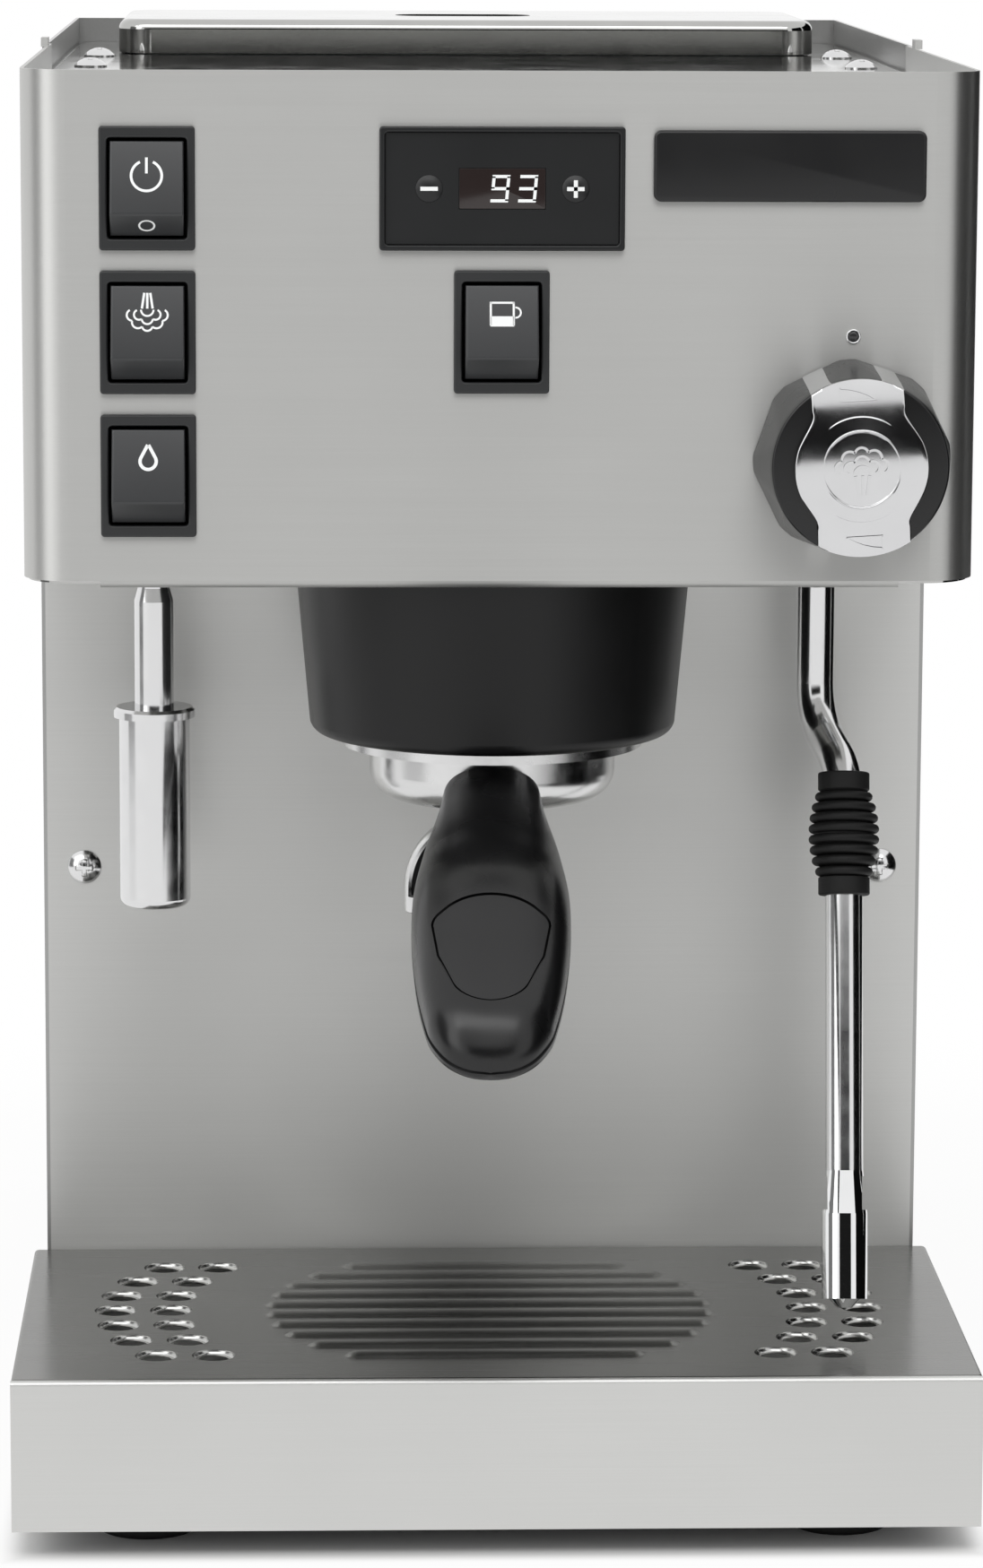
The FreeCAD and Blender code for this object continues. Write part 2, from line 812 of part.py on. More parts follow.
def shower_screen():
    hole = shower_screw_r + screw_gap
    boss = shower_head_r + screen_t
    high = screen_z + screen_h
    inner = block_r - screen_t
    plate_top = screen_z + screen_t
    profile = [(hole, screen_z), (inner, screen_z), (block_r, plate_top), (block_r, high), (inner, high),
               (inner, plate_top + screen_t), (inner - screen_t, plate_top), (boss, plate_top), (boss, high),
               (hole, high)]
    return turned(profile, 0, group_y)


def shower_screw():
    low = screen_z - shower_head_h
    top = screen_z + screen_h + shower_thread
    profile = [(0, low), (shower_head_r - 0.6, low), (shower_head_r, screen_z), (shower_screw_r, screen_z),
               (shower_screw_r, top), (0, top)]
    return turned(profile, 0, group_y)


# Filter holder, which locks into the group

def filter_holder():
    rim_low = holder_top - holder_rim_h
    inner = basket_r + part_gap
    floor = bell_z + bell_floor
    profile = [(0, bell_z), (bell_r, bell_z), (bell_r, rim_low), (holder_rim_r, rim_low),
               (holder_rim_r, holder_top), (inner, holder_top),
               (inner, floor + bell_edge - bell_wall), (inner - bell_edge + bell_wall, floor), (0, floor)]
    holder = rounded_rim(turned(profile, 0, group_y), bell_edge, lambda p: p.z < bell_z + 0.1)
    lug_low = ledge_z + part_gap
    lugs = [lug_sector(lug_r, lug_half_angle, (lug_low, lug_low + lug_h), angle) for angle in (0, 180)]
    start = handle_start_point()
    axis = handle_axis()
    stud = Part.makeCylinder(stud_r, stud_len, start, axis)
    collar_start = start - axis * (group_y - bell_r - handle_start + bell_wall)
    socket = Part.makeCylinder(handle_neck_r(), (start - collar_start).Length, collar_start, axis)
    spring_z = holder_top - spring_below_rim
    groove = Part.makeTorus(inner + spring_wire_r / 2, spring_wire_r + screw_gap, V(0, group_y, spring_z), UP)
    inside = post(inner, 0, group_y, (floor + bell_edge, holder_top + 1))
    drain = post(spout_bore_r, 0, group_y, (bell_z - 1, floor + 1))
    holder = joined(holder, lugs + [stud, socket.cut(inside)])
    return lock(holder.cut([groove, drain]))


def handle_axis():
    """Direction of the handle, from the bell to its end."""
    tilt = math.radians(handle_tilt)
    return V(0, -math.cos(tilt), -math.sin(tilt))


def handle_start_point():
    return V(0, handle_start, handle_z)


def handle_neck_r():
    return stud_r + bell_wall


def filter_basket():
    rim = holder_top + basket_rim_t
    low = holder_top - basket_depth
    inner = basket_r - basket_wall
    edge = basket_edge
    profile = [(0, low), (basket_r - edge, low), (basket_r, low + edge), (basket_r, holder_top),
               (basket_rim_r, holder_top), (basket_rim_r, rim), (inner, rim), (inner, low + edge + basket_wall),
               (inner - edge, low + basket_wall), (0, low + basket_wall)]
    return lock(turned(profile, 0, group_y))


def basket_spring():
    """A wire ring with a gap, in the groove inside the filter holder."""
    spring_z = holder_top - spring_below_rim
    centre_r = basket_r + part_gap + spring_wire_r / 2
    wire = Part.makeCircle(spring_wire_r, V(centre_r, 0, 0), BACK)
    ring = Part.Face(Part.Wire([wire])).revolve(V(0, 0, 0), UP, 335)
    ring.translate(V(0, group_y, spring_z))
    return lock(ring)


def handle_form():
    """The handle's outer form along -Y, level: neck ovals from its start, palm ovals from its end."""
    stations = list(neck_ovals)
    stations.extend((handle_len - from_end, *oval) for from_end, *oval in palm_ovals)
    ovals = []
    for distance, half_w, top, low in stations:
        centre = V(0, -distance, (top + low) / 2)
        oval = Part.Ellipse(centre + V(half_w, 0, 0), centre + V(0, 0, (top - low) / 2), centre)
        ovals.append(Part.Wire([oval.toShape()]))
    return Part.makeLoft(ovals, True, False)


def shield_prism(gap):
    """The shield outline of the handle's insert, drawn in by a gap, raised from the recess's sloped floor."""
    half = insert_half_w - gap
    shoulder = -insert_len * insert_shoulder
    left = V(-half, shoulder, 0)
    right = V(half, shoulder, 0)
    tip = V(0, gap - insert_len, 0)
    belly = V(half * insert_belly_w, -insert_len * insert_belly, 0)
    edges = [
        Part.Arc(left, V(0, -gap, 0), right).toShape(),
        Part.Arc(right, belly, tip).toShape(),
        Part.Arc(tip, V(-belly.x, belly.y, 0), left).toShape(),
    ]
    prism = Part.Face(Part.Wire(edges)).extrude(V(0, 0, handle_len / 4))
    prism = rounded(prism, insert_corner_r - gap, UP)
    prism.rotate(V(0, 0, 0), RIGHT, insert_slope)
    prism.translate(V(0, insert_from_end - handle_len, insert_top - insert_depth))
    return prism


def placed_on_holder(shape):
    """Tilt a piece of the level handle and put it on the filter holder."""
    shape.rotate(V(0, 0, 0), RIGHT, handle_tilt)
    shape.translate(handle_start_point())
    return lock(shape)


def handle():
    bore = rod(stud_r, 0, (-stud_len, 1), 0)
    return placed_on_holder(handle_form().cut([shield_prism(0), bore]))


def handle_insert():
    face = handle_form()
    face.translate(V(0, 0, -insert_sink))
    return placed_on_holder(face.common(shield_prism(insert_gap)))


def twin_spout():
    """An arch of tube under the bell, open to the front above two mouths that point down."""

    def arch(radius, low):
        left = V(-spout_aside - spout_arc_r, group_y, low)
        right = V(-spout_aside + spout_arc_r, group_y, low)
        spring = [V(point.x, point.y, spout_arch_z) for point in (left, right)]
        crown = V(-spout_aside, group_y, spout_arch_z + spout_arc_r)
        path = Part.Wire([
            Part.LineSegment(left, spring[0]).toShape(),
            Part.Arc(spring[0], crown, spring[1]).toShape(),
            Part.LineSegment(spring[1], right).toShape(),
        ])
        ring = Part.Wire([Part.makeCircle(radius, left, UP)])
        return path.makePipeShell([ring], True, False)

    crown_z = spout_arch_z + spout_arc_r
    boss = post(spout_boss_r, 0, group_y, (crown_z, bell_z))
    inlet = post(spout_bore_r, 0, group_y, (crown_z - spout_bore_r / 4, bell_z + 1))
    reach = spout_arc_r + spout_tube_r + spout_aside
    window = block((-reach, reach), (group_y - 2 * spout_tube_r, group_y - spout_open),
                   (spout_z + spout_lip, crown_z - spout_open))
    spout = joined(arch(spout_tube_r, spout_z), [boss])
    return lock(spout.cut([arch(spout_bore_r, spout_z - 1), inlet, window]))


# Steam knob, stem and valve

def knob_form(front):
    """Eight-sided skirt that tapers to a round face."""
    back = box_y - knob_gap
    rings = []
    for y, inscribed in ((back, knob_base_r * 0.955), (front, knob_face_r)):
        corner = inscribed / math.cos(math.pi / knob_sides)
        points = []
        for index in range(knob_sides + 1):
            angle = 2 * math.pi * index / knob_sides
            points.append(V(knob_x + corner * math.sin(angle), y, knob_z + corner * math.cos(angle)))
        rings.append(Part.makePolygon(points))
    skirt = Part.makeLoft(rings, True, True)
    face = Part.makeCone(knob_base_r, knob_face_r, back - front, V(knob_x, back, knob_z), V(0, -1, 0))
    return skirt.common(face)


def cap_zone():
    """Where the chrome cap is: a round middle, a band up and down, and the band's wrap over the skirt."""
    front = box_y - knob_gap - knob_len
    back = box_y - knob_gap
    face_y = (front - 1, front + cap_depth)
    band_z = around(knob_z, 3 * knob_base_r)
    band = block(around(knob_x, 2 * cap_band_half), face_y, band_z)
    disc = rod(cap_disc_r, knob_x, face_y, knob_z)
    wrap = block(around(knob_x, 2 * cap_band_half), (front, back + 1), band_z)
    inner = Part.makeCone(knob_base_r * 0.955 - cap_wrap, knob_face_r - cap_wrap, back - front,
                          V(knob_x, back, knob_z), V(0, -1, 0))
    core_h = 2 * (knob_face_r - 2 * cap_wrap)
    core = block(around(knob_x, 3 * knob_base_r), (front - 1, back + 2), around(knob_z, core_h))
    at_waist = lambda p: abs(p.z - knob_z) < cap_disc_r
    plate = rounded(joined(band, [disc]), cap_waist_r, BACK, at_waist)
    return joined(plate, [wrap.cut([inner, core])])


def knob_cap():
    front = box_y - knob_gap - knob_len
    wide = around(knob_x, 4 * knob_base_r)
    step = block(wide, (front - 1, front + cap_step), around(knob_z, 4 * knob_base_r))
    step = step.cut(rod(cap_disc_r, knob_x, (front - 2, front + cap_step), knob_z))
    return knob_form(front).common(cap_zone()).cut(step)


def steam_knob():
    body = knob_form(box_y - knob_gap - knob_len).cut(cap_zone())
    front = box_y - knob_gap - knob_len
    wide = 4 * knob_base_r
    sink = block(around(knob_x, wide), (front - 1, front + knob_grip_sink), around(knob_z, wide))
    bore = rod(stem_r, knob_x, (box_y - knob_gap - stem_in_knob, box_y + 1), knob_z)
    return body.cut([sink, bore])


def steam_stem():
    return rod(stem_r, knob_x, (box_y - knob_gap - stem_in_knob, valve_front + stem_in_valve), knob_z)


def steam_valve():
    bonnet = rod(valve_r, knob_x, (valve_front, ball_y - valve_block_d / 2 + 1), knob_z)
    body = block(around(ball_x, valve_block_w), around(ball_y, valve_block_d),
                 (plate_high, plate_high + valve_block_h))
    valve = joined(bonnet, [body])
    bore = rod(stem_r + stem_gap, knob_x, (valve_front - 1, valve_front + stem_in_valve + part_gap), knob_z)
    socket = post(seat_r + part_gap, ball_x, ball_y, (plate_high - 1, ball_z + ball_r + part_gap))
    return valve.cut([bore, socket])


def ball_nut():
    low = ball_z - seat_below - nut_lip
    nut = post(nut_r, ball_x, ball_y, (low, plate_high))
    seat = post(seat_r + part_gap, ball_x, ball_y, (ball_z - seat_below - part_gap, plate_high + 1))
    opening = post(nut_opening_r, ball_x, ball_y, (low - 1, ball_z))
    return nut.cut([seat, opening])


def ball_seat():
    seat = post(seat_r, ball_x, ball_y, (ball_z - seat_below, ball_z + seat_above))
    return seat.cut(Part.makeSphere(ball_r + ball_gap, ball_point()))


# Steam wand, which hangs from its ball

def ball_point():
    return V(ball_x, ball_y, ball_z)


def wand_points():
    start = ball_point() - UP * ball_neck_len
    return [start, ball_point() + wand_bend_top, ball_point() + wand_bend_low, ball_point() + wand_end]


def wand_axis():
    """Direction of the wand's lower tube, towards its tip."""
    return (wand_end - wand_bend_low).normalize()


def steam_wand():
    tube = bent_rod(wand_points(), wand_bend_r, wand_r)
    centre = ball_point()
    ball = Part.makeSphere(ball_r, centre)
    neck = post(ball_neck_r, centre.x, centre.y, (centre.z - ball_neck_len, centre.z))
    return joined(tube, [ball, neck])


def steam_grip():
    """Ribbed rubber sleeve: each rib is a ruled stretch through four circles."""
    start = ball_point() + wand_bend_low + wand_axis() * grip_start
    middle = (grip_len - 2 * grip_collar) / grip_ribs
    rings = [(0.0, grip_end_r), (grip_collar, grip_end_r)]
    for index in range(grip_ribs):
        share = (index + 0.5) / grip_ribs
        crest = grip_end_r + (grip_mid_r - grip_end_r) * math.sin(math.pi * share) ** 0.7
        at = grip_collar + index * middle
        root = crest - grip_groove
        for step, radius in ((0.12, root), (0.38, crest), (0.72, crest), (0.98, root)):
            rings.append((at + step * middle, radius))
    rings.append((grip_len - grip_collar + 0.2, grip_end_r))
    rings.append((grip_len, grip_end_r - 0.4))
    circles = []
    for distance, radius in rings:
        circles.append(Part.Wire([Part.makeCircle(radius, start + wand_axis() * distance, wand_axis())]))
    return Part.makeLoft(circles, True, True).cut(steam_wand())


def steam_tip():
    start = ball_point() + wand_end
    face = tip_len - tip_nozzle
    profile = [(tip_bore_r, 0), (wand_r, 0), (tip_r, tip_flare), (tip_r, face), (tip_nozzle_r, face),
               (tip_mouth_r, tip_len), (tip_bore_r, tip_len)]
    tip = turned_along(profile, start, wand_axis())
    flats = []
    for side in (-1, 1):
        x0, x1 = sorted((side * tip_flat, side * 3 * tip_r))
        flat = block((x0, x1), (-tip_r, tip_r), (1.5, tip_flare - 1))
        flat.Placement = FreeCAD.Placement(start, FreeCAD.Rotation(UP, wand_axis()))
        flats.append(flat)
    return tip.cut(flats)


# Hot-water spout

def water_spout():
    low = sleeve_z + sleeve_h - sleeve_edge
    high = plate_high + water_flange_h
    shoulder = box_z - water_neck_len
    profile = [(sleeve_bore_r, low), (water_tube_r, low), (water_tube_r, shoulder),
               (water_neck_r, shoulder + water_taper), (water_neck_r, plate_high), (water_flange_r, plate_high),
               (water_flange_r, high), (sleeve_bore_r, high)]
    return turned(profile, spout_x, spout_y)


def spout_sleeve():
    top = sleeve_z + sleeve_h
    low = top - sleeve_edge
    high = top + collar_h
    profile = [(sleeve_bore_r, sleeve_z), (sleeve_r, sleeve_z), (sleeve_r, top),
               (collar_r, top), (collar_r, high - collar_edge), (collar_r - collar_edge, high),
               (water_tube_r, high), (water_tube_r, low), (sleeve_bore_r, low)]
    return rounded_rim(turned(profile, spout_x, spout_y), sleeve_edge, lambda p: p.z < sleeve_z + 0.1)


# Rocker switches

def switch_places():
    places = {name: (switch_x, z) for name, z in switch_z.items()}
    places["brew"] = (0.0, brew_switch_z)
    return places


def switch_frame(x, z):
    front = box_y - bezel_t
    bezel = block(around(x, switch_w), (front, box_y), around(z, switch_h))
    bezel = rounded(bezel, 0.8, BACK)
    housing = block(around(x, housing_w), (box_y, box_y + housing_d), around(z, housing_h))
    pivot_y = front + key_pivot
    cavity = block(around(x, key_w), (front - 1, pivot_y + key_h / 2), around(z, key_h))
    pins = axle(pin_r + pin_gap, around(x, key_w + 2 * pin_len + 2 * pin_gap), pivot_y, z)
    return joined(bezel, [housing]).cut([cavity, pins])


def rocker(x, z):
    pivot_y = box_y - bezel_t + key_pivot
    width = key_w - 2 * key_gap
    reach = key_h / 2 - key_gap
    ridge_z = z + reach - 2 * reach * key_ridge_share
    left = x - width / 2
    face = box_y - bezel_t
    outline = [
        V(left, face - key_top_out, z + reach),
        V(left, face - key_ridge_out, ridge_z),
        V(left, face - key_low_out, z - reach),
        V(left, pivot_y + key_back, z - reach),
        V(left, pivot_y + key_back, z + reach),
    ]
    wedge = Part.Face(Part.makePolygon(outline + outline[:1])).extrude(V(width, 0, 0))
    key = wedge.common(axle(reach, around(x, width), pivot_y, z))
    return joined(key, [axle(pin_r, around(x, key_w + 2 * pin_len), pivot_y, z)])


# Display, name plate and index lens

def display_bezel():
    front = box_y - display_rim
    face_front = box_y - display_face
    face_back = box_y + display_face
    rim = block(around(0, display_w), (front, box_y), around(display_z, display_h))
    rim = rounded(rim, 0.8, BACK)
    inner_w = display_w - 2 * display_frame
    inner_h = display_h - 2 * display_frame
    housing = block(around(0, inner_w), (box_y, box_y + display_d), around(display_z, inner_h))
    recess = block(around(0, inner_w), (front - 1, face_front), around(display_z, inner_h))
    hollow = block(around(0, inner_w - 2 * display_wall), (face_back, box_y + display_d - display_wall),
                   around(display_z, inner_h - 2 * display_wall))
    window = block(around(0, window_w), (face_front - 1, face_back + 1), around(display_z, window_h))
    through = (face_front - 1, face_back + 1)
    buttons = [rod(button_r + button_gap, side * button_x, through, display_z) for side in (-1, 1)]
    return joined(rim, [housing]).cut([recess, hollow, window] + buttons)


def display_window():
    y = (box_y - display_face + window_sink, box_y + display_face)
    return block(around(0, window_w), y, around(display_z, window_h))


def display_button(x):
    front = box_y - display_face - button_out
    stem = box_y + display_face + button_gap - front
    flange_r = button_r + button_flange
    back = stem + button_flange
    profile = [(0, 0), (button_r - button_edge, 0), (button_r, button_edge), (button_r, stem), (flange_r, stem),
               (flange_r, back), (0, back)]
    return turned_along(profile, V(x, front, display_z), BACK)


def name_plate():
    shape = block(around(plate_x, plate_w), (box_y - plate_t, box_y), around(plate_z, plate_h))
    shape = rounded(shape, plate_r, BACK)
    return rounded_rim(shape, plate_edge, lambda p: p.y < box_y - plate_t + 0.1)


def index_lens():
    profile = [(0, -sheet), (lens_r, -sheet), (lens_r, lens_out * 0.4), (lens_r * 0.6, lens_out), (0, lens_out)]
    return turned_along(profile, V(lens_x, box_y, lens_z), V(0, -1, 0))


# Pieces inside the cabinet

def brew_boiler():
    low = plate_high
    top = low + brew_boiler_h
    wall = boiler_wall
    edge = boiler_edge
    shelf = low + brew_flange_h
    radius = brew_boiler_r
    profile = [(0, low), (brew_flange_r, low), (brew_flange_r, shelf), (radius, shelf), (radius, top - edge),
               (radius - edge, top), (0, top)]
    inside = [(0, shelf), (radius - wall, shelf), (radius - wall, top - edge - wall),
              (radius - edge - wall, top - wall), (0, top - wall)]
    return turned(profile, 0, group_y).cut(turned(inside, 0, group_y))


def steam_boiler():
    low = floor_z + stand_h
    top = low + steam_boiler_h
    radius = steam_boiler_r
    wall = boiler_wall
    edge = boiler_edge
    profile = [(0, low), (radius - edge, low), (radius, low + edge), (radius, top - edge), (radius - edge, top),
               (0, top)]
    inside = [(0, low + wall), (radius - edge - wall, low + wall), (radius - wall, low + edge + wall),
              (radius - wall, top - edge - wall), (radius - edge - wall, top - wall), (0, top - wall)]
    hollow = turned(inside, steam_boiler_x, steam_boiler_y)
    return turned(profile, steam_boiler_x, steam_boiler_y).cut(hollow)


def boiler_stand():
    top = floor_z + stand_h
    x = around(steam_boiler_x, 2 * steam_boiler_r)
    y = around(steam_boiler_y, 2 * steam_boiler_r)
    stand = block(x, y, (floor_z, top))
    under = block((x[0] + stand_t, x[1] - stand_t), (y[0] - 1, y[1] + 1), (floor_z - 1, top - stand_t))
    return stand.cut(under)


def pump():
    x = around(0, pump_len)
    body = axle(pump_r, x, pump_y, pump_z)
    feet = []
    for end in (x[0] + pump_foot_w, x[1] - 2 * pump_foot_w):
        feet.append(block((end, end + pump_foot_w), around(pump_y, pump_r), (floor_z, pump_z)))
    inlet = post(hose_r, 0, pump_y, (pump_z, pump_z + pump_r))
    return joined(body, feet + [inlet])


def control_box():
    x, y = box_place
    case = block(around(x, box_size[0]), around(y, box_size[1]), (floor_z, floor_z + box_size[2]))
    return rounded(case, box_corner, UP)


def solenoid_valve():
    x, y = solenoid_place
    base = block(around(x, solenoid_size), around(y, solenoid_size), (plate_high, plate_high + solenoid_size))
    top = plate_high + solenoid_size
    coil = post(solenoid_coil_r, x, y, (top, top + solenoid_coil_h))
    return joined(base, [coil])


def copper_pipes():
    """Steam line from the boiler to the valve, and feed line from the pump to the boiler."""
    boiler_top = floor_z + stand_h + steam_boiler_h
    valve_back = V(ball_x, ball_y + valve_block_d / 2, plate_high + valve_block_h * 0.7)
    over = max(boiler_top + 2 * pipe_bend, valve_back.z)
    line = [V(steam_boiler_x, steam_boiler_y, boiler_top), V(steam_boiler_x, steam_boiler_y, over + pipe_bend),
            V(steam_boiler_x, valve_back.y + 3 * pipe_bend, over + pipe_bend),
            V(valve_back.x, valve_back.y + 3 * pipe_bend, valve_back.z), valve_back]
    steam_line = bent_rod(line, pipe_bend, pipe_r)
    pump_end = V(pump_len / 2, pump_y, pump_z)
    boiler_side_z = floor_z + stand_h + steam_boiler_h / 4
    boiler_side = V(steam_boiler_x, steam_boiler_y + steam_boiler_r, boiler_side_z)
    out_x = pump_end.x + 2.5 * pipe_bend
    mid_y = (boiler_side.y + pump_y - pump_r) / 2
    feed = [pump_end, V(out_x, pump_y, pump_z), V(out_x, mid_y, pump_z), V(boiler_side.x, mid_y, boiler_side_z),
            boiler_side]
    feed_line = bent_rod(feed, pipe_bend / 2, pipe_r)
    return Part.makeCompound([steam_line, feed_line])


def mains_inlet():
    """Recessed three-pin appliance inlet in the rear panel."""
    flange = block(around(inlet_x, inlet_w + 2 * inlet_flange), (body_depth, body_depth + inlet_flange_t),
                   around(inlet_z, inlet_h + 2 * inlet_flange))
    flange = rounded(flange, inlet_flange, BACK)
    back = body_depth + inlet_flange_t
    body = block(around(inlet_x, inlet_w), (back - inlet_d, body_depth), around(inlet_z, inlet_h))
    socket = block(around(inlet_x, inlet_w - 2 * inlet_wall), (back - inlet_socket, back + 1),
                   around(inlet_z, inlet_h - 2 * inlet_wall))
    pins = []
    for column, row in ((-1, -0.3), (0, 0.3), (1, -0.3)):
        x = inlet_x + column * inlet_pin_pitch
        z = inlet_z + row * inlet_pin_pitch
        floor = back - inlet_socket
        pins.append(block(around(x, inlet_pin[0]), (floor - 1, floor + inlet_pin_len), around(z, inlet_pin[1])))
    return joined(joined(flange, [body]).cut(socket), pins)


pieces = {
    "chassis": chassis(),
    "rubber_feet": rubber_feet(),
    "front_panel": front_panel(),
    "side_panel_left": side_panel(-1),
    "side_panel_right": side_panel(1),
    "splash_panel": splash_panel(),
    "rear_panel": rear_panel(),
    "group_plate": group_plate(),
    "cup_tray": cup_tray(),
    "panel_screws": panel_screws(),
    "tank_lid": tank_lid(),
    "water_tank": water_tank(),
    "tank_seat": tank_seat(),
    "suction_hose": suction_hose(),
    "drip_tray": drip_tray(),
    "drip_grate": drip_grate(),
    "group_cover": group_cover(),
    "group_head": group_head(),
    "group_gasket": group_gasket(),
    "shower_screen": shower_screen(),
    "shower_screw": shower_screw(),
    "filter_holder": filter_holder(),
    "filter_basket": filter_basket(),
    "basket_spring": basket_spring(),
    "handle": handle(),
    "handle_insert": handle_insert(),
    "twin_spout": twin_spout(),
    "steam_valve": steam_valve(),
    "ball_nut": ball_nut(),
    "ball_seat": ball_seat(),
    "steam_stem": steam_stem(),
    "steam_knob": steam_knob(),
    "knob_cap": knob_cap(),
    "steam_wand": steam_wand(),
    "steam_grip": steam_grip(),
    "steam_tip": steam_tip(),
    "water_spout": water_spout(),
    "spout_sleeve": spout_sleeve(),
    "display_bezel": display_bezel(),
    "display_window": display_window(),
    "minus_button": display_button(-button_x),
    "plus_button": display_button(button_x),
    "name_plate": name_plate(),
    "index_lens": index_lens(),
    "brew_boiler": brew_boiler(),
    "steam_boiler": steam_boiler(),
    "boiler_stand": boiler_stand(),
    "pump": pump(),
    "control_box": control_box(),
    "solenoid_valve": solenoid_valve(),
    "copper_pipes": copper_pipes(),
    "mains_inlet": mains_inlet(),
}
for name, (x, z) in switch_places().items():
    pieces[name + "_switch_frame"] = switch_frame(x, z)
    pieces[name + "_rocker"] = rocker(x, z)

# The origin moves to the bottom centre of the whole machine, handle included.
whole = Part.makeCompound(list(pieces.values()))
extent = whole.optimalBoundingBox(False, False)
origin_y = round((extent.YMin + extent.YMax) / 2, 1)

os.makedirs("parts", exist_ok=True)
for name, shape in pieces.items():
    shape.translate(V(0, -origin_y, 0))
    shape.exportStep("parts/" + name + ".step")
print("origin at y =", origin_y, "from the tray's front; extent", extent)
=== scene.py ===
import cmath
import math

import bmesh
import bpy
from mathutils import Matrix, Vector, geometry


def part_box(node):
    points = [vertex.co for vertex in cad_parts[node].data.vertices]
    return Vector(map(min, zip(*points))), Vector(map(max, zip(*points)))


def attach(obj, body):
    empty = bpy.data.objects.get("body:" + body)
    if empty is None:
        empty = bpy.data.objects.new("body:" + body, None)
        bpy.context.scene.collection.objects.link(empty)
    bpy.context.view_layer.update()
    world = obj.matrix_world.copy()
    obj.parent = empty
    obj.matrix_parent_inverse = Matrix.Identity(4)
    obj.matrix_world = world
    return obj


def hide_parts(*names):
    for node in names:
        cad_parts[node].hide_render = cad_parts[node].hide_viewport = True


# Home espresso machine: finishes for the CAD pieces, and modelled pieces where the eye wants more than CAD.
# Shapes are made in millimetres around their own middle, then set in the frame, which is in metres.

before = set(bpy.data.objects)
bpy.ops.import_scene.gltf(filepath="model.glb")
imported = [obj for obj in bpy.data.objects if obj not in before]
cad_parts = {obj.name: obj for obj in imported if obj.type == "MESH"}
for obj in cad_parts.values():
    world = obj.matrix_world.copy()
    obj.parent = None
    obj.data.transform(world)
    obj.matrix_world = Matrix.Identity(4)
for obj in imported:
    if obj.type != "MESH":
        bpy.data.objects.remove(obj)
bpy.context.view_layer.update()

MM = 0.001
MERGE_DIST = 0.0005
CUT_DIST = 0.0001
SHARP_ANGLE = math.radians(32)
TURN_STEPS = 72
SMALL_STEPS = 48
CORNER_STEPS = 5
RIM_BESIDE = 0.1
SIDES = (-1, 1)
ORIGIN = Matrix.Identity(4)


# Places taken from the frame

def corners(node):
    """Lowest and highest corner of a CAD node at rest, in millimetres."""
    low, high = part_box(node)
    return low / MM, high / MM


def middle(node):
    low, high = corners(node)
    return (low + high) / 2


def extent(node):
    low, high = corners(node)
    return high - low


PANEL_Y = corners("front_panel")[0].y
TRAY_FRONT = Vector((0, corners("drip_tray")[0].y, 0))
FRONT = Matrix(((1, 0, 0), (0, 0, -1), (0, 1, 0))).to_4x4()


def moved(x, y, z):
    return Matrix.Translation((x, y, z))


def facing_front(x, y, z):
    """A place whose local Z points out of the machine's front, with local Y up."""
    return moved(x, y, z) @ FRONT


def on_panel(node):
    """The front panel's face at the middle of a node."""
    spot = middle(node)
    return facing_front(spot.x, PANEL_Y, spot.z)


def aimed(place, aim, axis="Z"):
    """A place whose local axis points at another place."""
    turn = (Vector(aim) - Vector(place)).to_track_quat(axis, "Y")
    return Matrix.Translation(place) @ turn.to_matrix().to_4x4()


# Modelling

def verts_of(geom):
    return [item for item in geom if isinstance(item, bmesh.types.BMVert)]


def everything(bm):
    return bm.verts[:] + bm.edges[:] + bm.faces[:]


def soften(bm, edges, width, segments=4):
    """Round edges."""
    bmesh.ops.bevel(bm, geom=edges, offset=width, offset_type="OFFSET", segments=segments, profile=0.5,
                    affect="EDGES", material=-1, clamp_overlap=True)


def extruded(bm, faces, vec):
    """Pull faces out along a vector; returns what was made."""
    made = bmesh.ops.extrude_face_region(bm, geom=faces)["geom"]
    bmesh.ops.translate(bm, vec=vec, verts=verts_of(made))
    return made


def closed(bm):
    """Put a face on each open end."""
    bmesh.ops.holes_fill(bm, edges=[e for e in bm.edges if e.is_boundary], sides=0)


def holed(bm, edges, radius, steps, places):
    """Fill a flat outline, with a round hole at each place."""
    for place in places:
        ring = bmesh.ops.create_circle(bm, segments=steps, radius=radius, matrix=place)["verts"]
        edges += dict.fromkeys(e for v in ring for e in v.link_edges)
    bmesh.ops.triangle_fill(bm, use_beauty=True, use_dissolve=False, edges=edges, normal=(0, 0, 1))


def arc_points(centre, radius, start, stop, steps=8):
    """Points of a round about a (radius, height) centre, from one angle to another in degrees."""
    angles = [math.radians(start + (stop - start) * step / steps) for step in range(steps + 1)]
    return [(centre[0] + radius * math.cos(angle), centre[1] + radius * math.sin(angle)) for angle in angles]


def dome_points(radius, base, top):
    """Points of a dome, from its crown to its rim."""
    rise = top - base
    ball_r = (radius ** 2 + rise ** 2) / (2 * rise)
    return arc_points((0, top - ball_r), ball_r, 90, math.degrees(math.acos(radius / ball_r)), 10)


def turned(points, steps=TURN_STEPS):
    """A form turned about local Z, from (radius, height) points."""
    bm = bmesh.new()
    line = [bm.verts.new((radius, 0, height)) for radius, height in points]
    edges = [bm.edges.new(pair) for pair in zip(line, line[1:])]
    bmesh.ops.spin(bm, geom=line + edges, cent=(0, 0, 0), axis=(0, 0, 1), angle=2 * math.pi, steps=steps,
                   use_merge=True)
    bmesh.ops.remove_doubles(bm, verts=bm.verts, dist=MERGE_DIST)
    return bm


